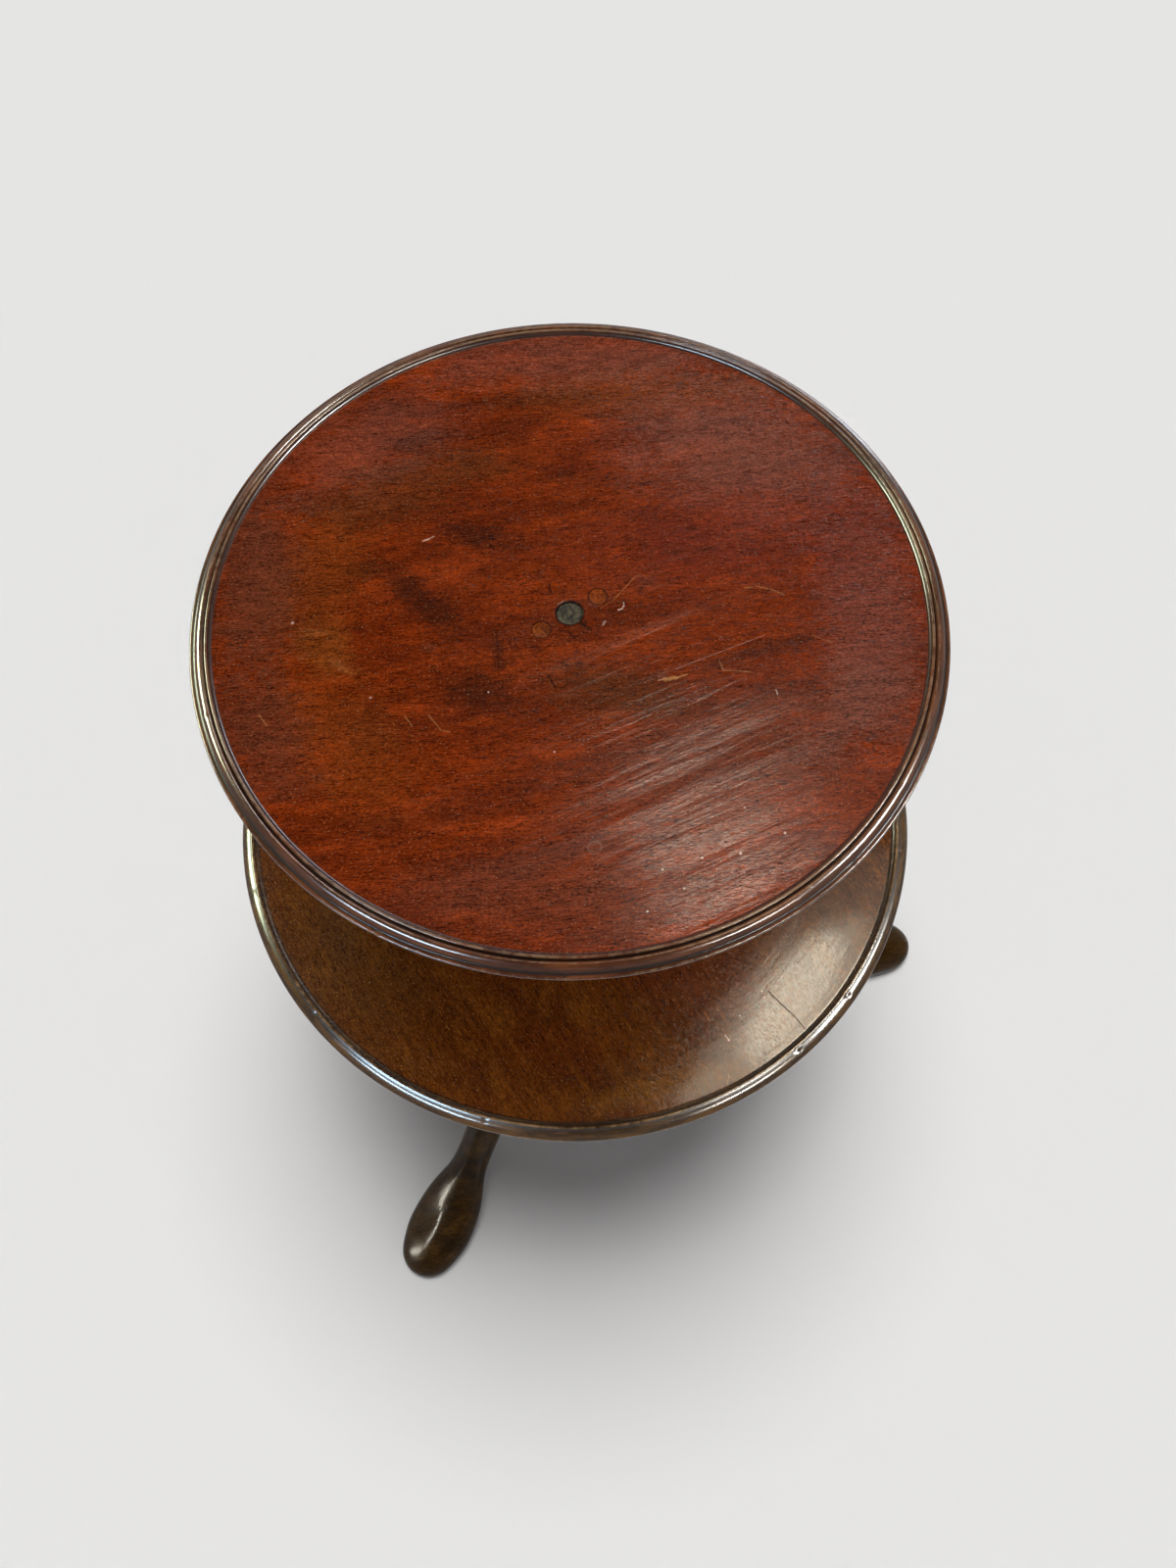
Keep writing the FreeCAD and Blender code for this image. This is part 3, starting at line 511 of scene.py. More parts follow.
def warp_floor(tray, level, radius):
    """Let a tray's floor sink and rise by a hair, as old boards do."""
    middle = on_axis((0, 0, level))
    for vertex in tray.data.vertices:
        away = (vertex.co - middle).length
        if abs(vertex.co.z - level) > FLOOR_REACH or away > radius:
            continue
        edge = min(1.0, (radius - away) / FLOOR_WARP_RIM_FADE, away / FLOOR_WARP_MIDDLE_FADE)
        vertex.co.z += FLOOR_WARP * edge * noise.noise(vertex.co / FLOOR_WARP_PITCH)


def make_tray(name, shape, bore):
    """A dished tray with its pellet holes and the wear of age. bore: its inner corners."""
    radius = shape["radius"]
    floor = shape["floor"]
    crest = floor + shape["crest_rise"]
    rim_inside = radius - shape["rim_width"]
    corners = [(radius - EDGE_RUN, shape["underside"], 0)]
    corners += [(radius - shape["rim_width"] * inset, crest - shape["rim_height"] * drop, bulge)
                for inset, drop, bulge in shape["rim"]]
    corners.append((rim_inside, floor, FLOOR_COVE_BULGE))
    corners += floor_rings(rim_inside, bore[0][0], floor)
    corners += bore
    tray = turn_piece(name, corners, TRAY_SIDES)
    cut_pellet_holes(tray, shape["pellets"], floor)
    take_up(tray)
    press_dents(tray, shape["dents"], radius, crest)
    warp_floor(tray, floor, rim_inside)
    return tray


def make_upper_tray():
    """The upper tray, bored for the pivot's head and shank."""
    bore = radius_of("pivot_bolt") + PIVOT_BORE_GAP
    seat = upper_floor - PIVOT_BORE_DEPTH
    return make_tray("upper_tray_board", UPPER_SHAPE, [
        (bore, upper_floor, 0), (bore, seat, 0), (SHANK_HOLE_RADIUS, seat, 0),
        (SHANK_HOLE_RADIUS, upper_low.z, 0)])


def make_lower_tray():
    """The lower tray, bored for the column's spigot."""
    return make_tray("lower_tray_board", LOWER_SHAPE, [
        (LOWER_BORE_RADIUS, lower_floor, 0), (LOWER_BORE_RADIUS, lower_low.z, 0)])


def make_pellets(name, shape):
    """The two wood plugs of a tray, with softened edges, a little below its floor."""
    top = shape["floor"] - PELLET_SINK
    foot = shape["floor"] - PELLET_DEPTH
    corners = [(0, foot, 0), (PELLET_RADIUS, foot, 0), (PELLET_RADIUS, top, 0),
               (PELLET_RADIUS * PELLET_RING_SHARE, top, 0), (0, top, 0)]
    plugs = [turn_piece(name, corners, PELLET_SIDES, PELLET_SOFTNESS, place)
             for place in shape["pellets"]]
    deselect()
    for plug in plugs:
        plug.select_set(True)
    bpy.context.view_layer.objects.active = plugs[0]
    bpy.ops.object.join()
    return plugs[0]


# Turned columns, with the same turnings as the solids: share of the height, share of the
# radius, and bulge

PEDESTAL_TURNING_SHARES = (
    (0.000, 0.960, 0.00),
    (0.078, 0.620, -0.34),
    (0.078, 0.700, 0.00),
    (0.112, 0.700, 0.80),
    (0.112, 0.580, 0.00),
    (0.128, 0.580, 0.00),
    (0.300, 1.000, 0.32),
    (0.440, 0.800, 0.22),
    (0.560, 0.500, -0.22),
    (0.560, 0.600, 0.00),
    (0.590, 0.600, 0.80),
    (0.590, 0.530, 0.00),
    (0.605, 0.560, 0.00),
    (0.860, 0.500, 0.00),
    (0.860, 0.590, 0.00),
    (0.886, 0.590, 0.80),
    (0.886, 0.520, 0.00),
)
COLUMN_TURNING_SHARES = (
    (0.030, 0.980, 0.30),
    (0.075, 0.560, -0.34),
    (0.075, 0.660, 0.00),
    (0.096, 0.660, 0.80),
    (0.096, 0.520, 0.00),
    (0.104, 0.520, 0.00),
    (0.190, 1.000, 0.32),
    (0.272, 0.780, 0.22),
    (0.350, 0.460, -0.22),
    (0.350, 0.600, 0.00),
    (0.370, 0.600, 0.80),
    (0.370, 0.520, 0.00),
    (0.384, 0.600, 0.00),
    (0.850, 0.500, 0.00),
    (0.850, 0.620, 0.00),
    (0.868, 0.620, 0.80),
    (0.868, 0.540, 0.00),
)
CAPITAL_COVE_BULGE = -0.34
CAPITAL_HEIGHT_SHARE = 0.955
COLUMN_SIDES = 256
DRUM_RADIUS = 48.0 * MM
DRUM_HEIGHT = 108.0 * MM
DRUM_BEVEL = 2.0 * MM
PEDESTAL_RADIUS = 40.0 * MM
PEDESTAL_LANDING_RADIUS = 42.0 * MM
PEDESTAL_SOFTNESS = 0.5 * MM
TENON_RADIUS = 12.5 * MM
SOCKET_DEPTH = 56.5 * MM
SPIGOT_RADIUS = 20.0 * MM
TRAY_LIFT = 0.5 * MM
COLUMN_RADIUS = 27.0 * MM
COLUMN_FOOT_RADIUS = 31.0 * MM
COLUMN_LANDING_RADIUS = 33.0 * MM
COLUMN_SOFTNESS = 0.4 * MM
SHANK_RADIUS = 5.5 * MM


def turning_corners(low, high, radius, landing, shares):
    """Corners of a turned stretch, up to the flat landing on its top."""
    corners = [(radius * out, low + (high - low) * rise, bulge)
               for rise, out, bulge in shares]
    corners.append((landing, low + (high - low) * CAPITAL_HEIGHT_SHARE, CAPITAL_COVE_BULGE))
    corners.append((landing, high, 0))
    return corners


def make_pedestal():
    """The pedestal, from its drum to the socket in its top."""
    low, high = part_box("pedestal_column")
    drum_top = low.z + DRUM_HEIGHT
    socket_floor = high.z - SOCKET_DEPTH
    corners = [(0, low.z, 0), (DRUM_RADIUS - DRUM_BEVEL, low.z, 0),
               (DRUM_RADIUS, low.z + DRUM_BEVEL, 0), (DRUM_RADIUS, drum_top - DRUM_BEVEL, 0),
               (DRUM_RADIUS - DRUM_BEVEL, drum_top, QUARTER_BULGE)]
    corners += turning_corners(drum_top, high.z, PEDESTAL_RADIUS, PEDESTAL_LANDING_RADIUS,
                               PEDESTAL_TURNING_SHARES)
    corners += [(TENON_RADIUS, high.z, 0), (TENON_RADIUS, socket_floor, 0),
                (0, socket_floor, 0)]
    return turn_piece("pedestal_turning", corners, COLUMN_SIDES, PEDESTAL_SOFTNESS)


def make_column():
    """The upper column, from its tenon and spigot to the hole for the pivot's shank."""
    low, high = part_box("upper_column")
    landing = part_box("pedestal_column")[1].z
    foot = lower_floor + TRAY_LIFT
    pivot_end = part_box("pivot_bolt")[0].z
    corners = [(0, low.z, 0), (TENON_RADIUS, low.z, 0), (TENON_RADIUS, landing, 0),
               (SPIGOT_RADIUS, landing, 0), (SPIGOT_RADIUS, foot, 0),
               (COLUMN_FOOT_RADIUS, foot, 0)]
    corners += turning_corners(foot, high.z, COLUMN_RADIUS, COLUMN_LANDING_RADIUS,
                               COLUMN_TURNING_SHARES)
    corners += [(SHANK_RADIUS, high.z, 0), (SHANK_RADIUS, pivot_end, 0), (0, pivot_end, 0)]
    return turn_piece("column_turning", corners, COLUMN_SIDES, COLUMN_SOFTNESS)


PIVOT_SIDES = 96
PIVOT_SOFTNESS = 0.3 * MM
PIVOT_HEAD_THICKNESS = 4.0 * MM
PIVOT_HEAD_CROWN = 0.5 * MM
PIVOT_HEAD_RING_SHARES = (0.9, 0.78, 0.64, 0.5, 0.36, 0.22, 0.1)
PIVOT_TIP_SHARE = 0.45
PIVOT_TIP_LENGTH = 5.0 * MM
HAMMERED_FROM = 1.0 * MM
HAMMER_DEPTH = 0.30 * MM
HAMMER_PITCH = 3.2 * MM
HAMMER_FINE_PITCH = 1.3 * MM
HAMMER_FINE_SHARE = 0.5


def make_pivot():
    """The iron pivot, with a worn and hammered head."""
    low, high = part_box("pivot_bolt")
    head = radius_of("pivot_bolt")
    seat = high.z - PIVOT_HEAD_THICKNESS
    corners = [(0, low.z, 0), (SHANK_RADIUS * PIVOT_TIP_SHARE, low.z, 0),
               (SHANK_RADIUS, low.z + PIVOT_TIP_LENGTH, 0), (SHANK_RADIUS, seat, 0),
               (head, seat, 0), (head, high.z - PIVOT_HEAD_CROWN, 0)]
    corners += [(head * share, high.z, 0) for share in PIVOT_HEAD_RING_SHARES]
    corners.append((0, high.z, 0))
    pivot = turn_piece("pivot_head", corners, PIVOT_SIDES, PIVOT_SOFTNESS)
    for vertex in pivot.data.vertices:
        if vertex.co.z > seat + HAMMERED_FROM:
            lump = noise.noise(vertex.co / HAMMER_PITCH)
            lump += HAMMER_FINE_SHARE * noise.noise(vertex.co / HAMMER_FINE_PITCH)
            vertex.co.z -= HAMMER_DEPTH * abs(lump)
    return pivot


# Node trees

class Wiring:
    """Adds nodes to one node tree; each call gives back the socket with its result."""

    def __init__(self, tree):
        self.tree = tree

    def feed(self, socket, value):
        """Link a socket to a result, or set it to a constant."""
        if isinstance(value, bpy.types.NodeSocket):
            self.tree.links.new(value, socket)
        else:
            socket.default_value = value

    def node(self, kind, sockets=None, **settings):
        """A new node itself, with its settings made and its sockets fed by name or number."""
        made = self.tree.nodes.new(kind)
        for setting, value in settings.items():
            setattr(made, setting, value)
        for name, value in (sockets or {}).items():
            self.feed(made.inputs[name], value)
        return made

    def math(self, operation, *values):
        """The result of one operation on numbers."""
        return self.node("ShaderNodeMath", dict(enumerate(values)), operation=operation).outputs[0]

    def vector(self, operation, *values):
        """The result of one operation on vectors."""
        made = self.node("ShaderNodeVectorMath", dict(enumerate(values)), operation=operation)
        return made.outputs["Value" if operation in ("LENGTH", "DOT_PRODUCT") else "Vector"]

    def span(self, value, low, high, start=0.0, end=1.0):
        """A smooth step: start below low, end above high."""
        sockets = dict(enumerate((value, low, high, start, end)))
        return self.node("ShaderNodeMapRange", sockets,
                         interpolation_type="SMOOTHSTEP").outputs[0]

    def blend(self, share, first, second):
        """A colour that is the first at share 0 and the second at 1."""
        return self.node("ShaderNodeMix", {0: share, 6: first, 7: second},
                         data_type="RGBA").outputs[2]

    def mix_shader(self, share, first, second):
        """A shader that is the first at share 0 and the second at 1."""
        return self.node("ShaderNodeMixShader", {0: share, 1: first, 2: second}).outputs[0]

    def noise(self, vector, scale=1.0, detail=2.0, roughness=0.5, distortion=0.0):
        """Cloudy noise from 0 to 1, about 0.5 on average."""
        return self.node("ShaderNodeTexNoise", {
            "Vector": vector, "Scale": scale, "Detail": detail, "Roughness": roughness,
            "Distortion": distortion}).outputs["Fac"]

    def stretch(self, vector, scale):
        """A place stretched along its three axes, so that a pattern is squeezed by as much."""
        return self.node("ShaderNodeMapping", {
            "Vector": vector, "Scale": scale}).outputs["Vector"]

    def turn(self, vector, bearing):
        """A place turned back, so that a pattern along X runs at a bearing."""
        return self.node("ShaderNodeMapping", {
            "Vector": vector, "Rotation": (0, 0, -bearing)}).outputs["Vector"]

    def group(self, group, **values):
        """The results of a shared effect."""
        return self.node("ShaderNodeGroup", values, node_tree=group).outputs


def make_group(name, sockets, results, draw):
    """A shared effect with named inputs and outputs."""
    group = bpy.data.node_groups.new(name, "ShaderNodeTree")
    for label, kind, value in sockets:
        socket = group.interface.new_socket(name=label, in_out="INPUT", socket_type=kind)
        if value is not None:
            socket.default_value = value
    for label, kind in results:
        group.interface.new_socket(name=label, in_out="OUTPUT", socket_type=kind)
    wiring = Wiring(group)
    entry = group.nodes.new("NodeGroupInput").outputs
    drawn = draw(wiring, entry)
    leave = group.nodes.new("NodeGroupOutput").inputs
    for label, value in drawn.items():
        wiring.feed(leave[label], value)
    return group


FLOAT = "NodeSocketFloat"
COLOUR = "NodeSocketColor"
VECTOR = "NodeSocketVector"
DARKEST_GRAIN = 0.15
NARROWEST_STROKE = 0.1 * MM


def tone(red, green, blue):
    """A colour as it is seen, 0 to 255, made linear."""
    return tuple(((part / 255 + 0.055) / 1.055) ** 2.4 for part in (red, green, blue)) + (1.0,)


def draw_grain(w, entry):
    """Mahogany along X: broad figure, ribbons, short dashes and dark pores."""
    vector = entry["Vector"]
    figure = w.noise(w.stretch(vector, (5, 22, 22)), 1, 4, 0.6, 0.6)
    cloud = w.noise(w.stretch(vector, (16, 48, 48)), 1, 4, 0.65, 0.4)
    mottle = w.noise(w.stretch(vector, (60, 260, 260)), 1, 4, 0.7, 0.3)
    dash = w.noise(w.stretch(vector, (150, 1200, 1200)), 1, 2, 0.7, 0.1)
    pore = w.span(w.noise(w.stretch(vector, (190, 2100, 2100)), 1, 1, 0.5), 0.57, 0.68)
    base = w.blend(w.span(figure, 0.38, 0.62), entry["Dark"], entry["Middle"])
    base = w.blend(w.math("MULTIPLY", w.span(cloud, 0.46, 0.70), 0.7), base, entry["Light"])
    fleck = w.noise(w.stretch(vector, (460, 820, 820)), 1, 1, 0.5)
    uneven = w.math("ADD", w.math("MULTIPLY", mottle, 2.2), w.math("MULTIPLY", dash, 3.0))
    uneven = w.math("MULTIPLY_ADD", fleck, 2.4, uneven)
    uneven = w.math("MULTIPLY", w.math("SUBTRACT", uneven, 3.8), entry["Streaks"])
    level = w.math("ADD", uneven, 1.0)
    level = w.math("SUBTRACT", level, w.math("MULTIPLY", pore, entry["Pores"]))
    level = w.math("MAXIMUM", level, DARKEST_GRAIN)
    shade = w.node("ShaderNodeCombineXYZ", {"X": level, "Y": level, "Z": level}).outputs[0]
    colour = w.vector("MULTIPLY", base, shade)
    height = w.math("SUBTRACT", w.math("MULTIPLY", dash, 0.6), pore)
    return {"Color": colour, "Height": height, "Shade": shade}


def draw_patch(w, entry):
    """A ragged oval patch, from 1 in its middle to 0 outside."""
    offset = w.vector("SUBTRACT", entry["Vector"], entry["Middle"])
    turned = w.node("ShaderNodeVectorRotate", {
        "Vector": offset, "Angle": w.math("MULTIPLY", entry["Bearing"], -1.0)},
        rotation_type="Z_AXIS").outputs[0]
    scaled = w.vector("DIVIDE", turned, w.node("ShaderNodeCombineXYZ", {
        "X": entry["Length"], "Y": entry["Width"], "Z": 1.0}).outputs[0])
    ragged = w.noise(w.stretch(entry["Vector"], (34, 60, 34)), 1, 3, 0.6)
    speckled = w.noise(w.stretch(entry["Vector"], (180, 520, 180)), 1, 2, 0.6)
    ragged = w.math("SUBTRACT", w.math("MULTIPLY_ADD", speckled, 1.4, ragged), 1.2)
    shift = w.math("MULTIPLY", ragged, entry["Ragged"])
    away = w.math("ADD", w.vector("LENGTH", scaled), shift)
    return {"Mask": w.span(away, 0.25, 1.15, 1.0, 0.0)}


def draw_stroke(w, entry):
    """A scratch between two places, from 1 along it to 0 at its width."""
    from_start = w.vector("SUBTRACT", entry["Vector"], entry["Start"])
    whole = w.vector("SUBTRACT", entry["End"], entry["Start"])
    along = w.math("DIVIDE", w.vector("DOT_PRODUCT", from_start, whole),
                   w.vector("DOT_PRODUCT", whole, whole))
    along = w.math("MINIMUM", w.math("MAXIMUM", along, 0.0), 1.0)
    nearest = w.node("ShaderNodeVectorMath", {0: whole, "Scale": along}, operation="SCALE")
    away = w.vector("LENGTH", w.vector("SUBTRACT", from_start, nearest.outputs[0]))
    broken = w.noise(entry["Vector"], 520.0, 2, 0.6)
    width = w.math("MULTIPLY", entry["Width"], w.math("MULTIPLY_ADD", broken, 2.4, -0.45))
    width = w.math("MAXIMUM", width, NARROWEST_STROKE)
    return {"Mask": w.span(w.math("DIVIDE", away, width), 0.25, 1.0, 1.0, 0.0)}


def draw_specks(w, entry):
    """Small scattered specks seen from above: a share of the cells hold one."""
    cells = w.node("ShaderNodeTexVoronoi", {"Vector": entry["Vector"], "Scale": entry["Scale"]},
                   voronoi_dimensions="2D")
    pick = w.node("ShaderNodeSeparateColor", {"Color": cells.outputs["Color"]}).outputs
    size = w.math("MULTIPLY", entry["Size"], w.math("ADD", pick[1], 0.4))
    dot = w.span(cells.outputs["Distance"], w.math("MULTIPLY", size, 0.4), size, 1.0, 0.0)
    held = w.math("MULTIPLY", w.math("LESS_THAN", pick[0], entry["Share"]), pick[2])
    return {"Mask": w.math("MULTIPLY", dot, held)}


def draw_wear(w, entry):
    """Wear on edges and dirt in hollows, from the relief stored with the mesh."""
    relief = w.node("ShaderNodeAttribute", attribute_name="relief").outputs["Fac"]
    rough = w.noise(entry["Vector"], 160.0, 3, 0.6)
    patchy = w.noise(entry["Vector"], 14.0, 2, 0.5)
    worn = w.math("ADD", relief, w.math("MULTIPLY", w.math("SUBTRACT", rough, 0.5), 1.7))
    worn = w.math("ADD", worn, w.math("MULTIPLY", w.math("SUBTRACT", patchy, 0.5), 1.4))
    rub = w.math("MULTIPLY", w.span(worn, 0.55, 1.15), entry["Rub"])
    dirt = w.math("MULTIPLY", w.span(relief, -0.08, -0.5), entry["Dirt"])
    return {"Rub": rub, "Dirt": dirt}


grain_group = make_group(
    "mahogany_grain",
    (("Vector", VECTOR, None), ("Dark", COLOUR, None), ("Middle", COLOUR, None),
     ("Light", COLOUR, None), ("Streaks", FLOAT, 0.6), ("Pores", FLOAT, 0.35)),
    (("Color", COLOUR), ("Height", FLOAT), ("Shade", VECTOR)), draw_grain)
patch_group = make_group(
    "ragged_patch",
    (("Vector", VECTOR, None), ("Middle", VECTOR, None), ("Length", FLOAT, 0.05),
     ("Width", FLOAT, 0.02), ("Bearing", FLOAT, 0.0), ("Ragged", FLOAT, 1.1)),
    (("Mask", FLOAT),), draw_patch)
stroke_group = make_group(
    "scratch_stroke",
    (("Vector", VECTOR, None), ("Start", VECTOR, None), ("End", VECTOR, None),
     ("Width", FLOAT, 0.0006)),
    (("Mask", FLOAT),), draw_stroke)
speck_group = make_group(
    "scattered_specks",
    (("Vector", VECTOR, None), ("Scale", FLOAT, 300.0), ("Size", FLOAT, 0.2),
     ("Share", FLOAT, 0.1)),
    (("Mask", FLOAT),), draw_specks)
wear_group = make_group(
    "edge_wear",
    (("Vector", VECTOR, None), ("Rub", FLOAT, 0.6), ("Dirt", FLOAT, 0.8)),
    (("Rub", FLOAT), ("Dirt", FLOAT)), draw_wear)


def new_finish(name):
    """An empty material with one principled surface."""
    material = bpy.data.materials.new(name)
    material.use_nodes = True
    tree = material.node_tree
    tree.nodes.clear()
    wiring = Wiring(tree)
    surface = wiring.node("ShaderNodeBsdfPrincipled")
    output = wiring.node("ShaderNodeOutputMaterial")
    tree.links.new(surface.outputs["BSDF"], output.inputs["Surface"])
    return material, wiring, surface.inputs


def bump(w, height, depth=1.0):
    """A normal from a height, with the depth in metres that a height of 1 stands for."""
    return w.node("ShaderNodeBump", {"Height": height, "Distance": depth}).outputs["Normal"]


def object_place(w):
    """The piece's own coordinates, from the column's axis."""
    place = w.node("ShaderNodeTexCoord").outputs["Object"]
    return w.vector("SUBTRACT", place, (axis.x, axis.y, 0.0))


def flat_place(w, place):
    """A place seen from above: its level is dropped."""
    return w.vector("MULTIPLY", place, (1, 1, 0))


ROUND_REACH = 0.25


def stroke_noise(w, place, bearing, along, across, detail, roughness):
    """Long marks, straight at a bearing, or round the axis where the bearing is None."""
    if bearing is None:
        flat = flat_place(w, place)
        way = w.vector("MULTIPLY", w.vector("NORMALIZE", flat), (along * ROUND_REACH,) * 3)
        out = w.math("MULTIPLY", w.vector("LENGTH", flat), across)
        out = w.node("ShaderNodeCombineXYZ", {"Z": out}).outputs[0]
        return w.noise(w.vector("ADD", way, out), 1, detail, roughness)
    marks = w.stretch(w.turn(place, bearing), (along, across, across))
    return w.noise(marks, 1, detail, roughness)


# Marks on the trays' floors, and patches of painted reflection haze, in millimetres from the
# column's axis. Patches: place, half length, half width, bearing in degrees, tone and strength
UPPER_PATCHES = (
    (-63, 64, 34, 13, -12, "dark", 0.70),
    (-138, 42, 18, 12, -10, "dark", 0.50),
    (-112, 25, 34, 13, -46, "dark", 0.70),
    (-90, 2, 26, 15, -40, "dark", 0.65),
    (-66, -57, 34, 18, -25, "dark", 0.65),
    (-49, -32, 24, 6, -78, "dark", 0.55),
    (-40, -20, 20, 10, 10, "dark", 0.35),
    (-24, -26, 9, 7, 80, "black", 0.45),
    (-20.5, 33, 7, 4, 80, "black", 0.40),
    (21.6, 39, 5, 3, 0, "black", 0.40),
    (-25, 185, 75, 10, 2, "dark", 0.65),
    (-110, 150, 40, 9, 15, "dark", 0.45),
    (30, 110, 60, 9, -3, "dark", 0.35),
    (-125, 105, 95, 36, 25, "olive", 0.60),
    (-60, 125, 40, 18, 10, "olive", 0.40),
    (-166, -24, 30, 22, -60, "amber", 0.60),
    (-175, -9, 12, 4.0, -10, "straw", 0.12),
    (-155, -37, 12, 4.0, -35, "straw", 0.12),
    (-178, 30, 70, 50, 60, "amber", 0.30),
    (-150, -95, 80, 45, -50, "amber", 0.30),
    (60, 190, 120, 30, 0, "amber", 0.35),
    # Mauve patches: a painted reflection haze, dull purple-grey
    (-96, -24.6, 7, 5, 0, "mauve_reflection", 0.45),
    (55, 24, 11, 8, 30, "mauve_reflection", 0.50),
    (-215, 30, 38, 95, 0, "mauve_reflection", 0.70),
    (-205, -85, 38, 66, 25, "mauve_reflection", 0.60),
    # Crimson: painted reflection haze over the right of the floor
    (205, 20, 50, 120, 0, "crimson_reflection", 0.50),
    # Pale film patches: a painted reflection haze at the back and the right of the floor
    (10, 222, 150, 36, 0, "painted_reflection", 0.36),
    (125, 135, 110, 75, -20, "painted_reflection", 0.50),
    (205, -20, 46, 120, 0, "painted_reflection", 0.34),
    (-140, 150, 90, 50, 30, "painted_reflection", 0.28),
    # Crimson: painted reflection haze toward the middle right
    (110, 60, 120, 50, 10, "crimson_reflection", 0.35),
    # Mauve: painted reflection haze over the right and the front
    (90, -120, 120, 60, 20, "mauve_reflection", 0.35),
    (-20, -205, 120, 32, 0, "mauve_reflection", 0.40),
    (30, -62, 60, 26, -10, "olive", 0.60),
    (150, -27, 34, 7, 20, "shade", 0.45),
    (112, -38, 40, 5, 22, "shade", 0.40),
    # A pale painted reflection haze at the lower right, where the sheen's streaks run
    (182, -80, 60, 34, 35, "painted_reflection", 0.40),
)
# Strokes: start, end, width, tone and strength
UPPER_STROKES = (
    ((-101.4, 62.2), (-97.5, 63.6), 1.1, "pale", 0.75),
    ((-97.5, 63.6), (-93.9, 65.6), 0.7, "pale", 0.65),
    ((33.3, 1.3), (35.9, 2.4), 1.0, "pale", 0.85),
    ((35.9, 2.4), (37.3, 4.8), 0.9, "pale", 0.80),
    ((37.3, 4.8), (37.2, 7.4), 0.7, "pale", 0.60),
    ((21.0, 3.0), (30.8, 9.9), 0.6, "straw", 0.30),
    ((30.8, 9.9), (45.0, 26.8), 0.6, "straw", 0.50),
    ((45.0, 26.8), (49.6, 30.0), 0.6, "straw", 0.35),
    ((58.0, -54.4), (62.4, -53.2), 0.8, "pale", 0.45),
    ((62.4, -53.8), (70.2, -52.6), 2.6, "straw", 0.85),
    ((70.0, -52.6), (77.8, -50.4), 1.1, "straw", 0.75),
    ((121.2, 16.5), (126.7, 17.1), 1.0, "straw", 0.45),
    ((129.0, 17.8), (137.4, 15.2), 0.8, "straw", 0.50),
    ((139.0, 15.0), (147.8, 10.1), 0.9, "straw", 0.45),
    ((99.9, -40.4), (102.0, -48.0), 0.9, "straw", 0.40),
    ((102.0, -48.0), (120.3, -49.8), 0.7, "straw", 0.50),
    ((136.2, -64.1), (137.0, -67.8), 0.9, "pale", 0.55),
    ((70.0, -46.0), (131.8, -21.5), 0.6, "pale", 0.22),
    ((163.7, -22.4), (177.7, -28.7), 0.6, "straw", 0.30),
    ((24.0, -7.4), (22.6, -10.4), 1.6, "pale", 0.35),
    ((-207.6, -72.7), (-201.6, -80.9), 1.0, "straw", 0.40),
    ((-95.1, -76.1), (-86.8, -87.7), 1.0, "straw", 0.35),
    ((-86.8, -87.7), (-81.0, -89.0), 0.9, "straw", 0.40),
    ((-111.0, -76.0), (-106.0, -84.0), 0.9, "straw", 0.40),
    ((-13.8, 23.5), (-13.0, 18.0), 1.6, "black", 0.80),
    ((-15.1, -49.0), (-10.9, -57.9), 1.5, "black", 0.75),
    ((4.0, -5.0), (9.5, -10.0), 3.4, "black", 0.80),
    ((9.0, -9.5), (14.0, -13.4), 1.6, "black", 0.75),
    ((-7.9, -13.7), (-1.2, -14.5), 1.1, "black", 0.65),
    ((-1.2, -14.5), (3.0, -20.4), 1.4, "black", 0.70),
    ((-50.0, -17.0), (-48.0, -48.0), 1.4, "black", 0.30),
)
# Specks: place, radius, tone and strength
UPPER_SPECKS = (
    (-189.3, -2.2, 1.5, "pale", 0.70), (79.6, -183.2, 1.3, "pale", 0.95),
    (104.0, -180.8, 1.4, "pale", 0.95), (133.3, -167.7, 1.2, "pale", 0.85),
    (54.1, -190.5, 1.2, "pale", 0.90), (67.1, -203.6, 1.1, "pale", 0.80),
    (43.3, -218.1, 1.1, "pale", 0.80), (109.0, -149.2, 1.0, "pale", 0.60),
    (-55.6, -60.0, 1.0, "pale", 0.80), (-134.0, -61.8, 1.1, "pale", 0.70),
    (-12.5, -105.7, 1.0, "pale", 0.80),
)
# Rings: place, radius, width, tone and strength
UPPER_RINGS = (
    (0, 0, 9.4, 1.6, "black", 0.80),
    (11.9, -174.3, 4.2, 1.0, "pale", 0.08),
)
LOWER_PATCHES = (
    (90, -150, 90, 50, -30, "russet", 0.75),
    (-10, -215, 70, 26, 0, "russet", 0.35),
    (-190, -130, 120, 90, -45, "umber", 0.60),
    (60, -252, 80, 14, 12, "gold", 0.45),
)
LOWER_STROKES = (
    ((157.1, -173.2), (167.3, -185.1), 1.2, "black", 0.95),
    ((167.3, -185.1), (176.7, -194.8), 1.2, "black", 0.95),
    ((176.7, -194.8), (184.8, -206.5), 1.1, "black", 0.90),
    ((102.8, -189.5), (106.4, -197.0), 1.3, "rust", 0.80),
    ((121.5, -214.0), (118.7, -209.8), 1.1, "pale", 0.80),
    ((119.5, -242.5), (116.6, -255.4), 0.6, "straw", 0.50),
)
LOWER_SPECKS = (
    (152.0, -173.1, 1.2, "pale", 0.90), (153.6, -178.4, 1.0, "pale", 0.80),
    (132.0, -193.5, 1.1, "pale", 0.80), (121.5, -214.0, 1.4, "pale", 0.90),
)
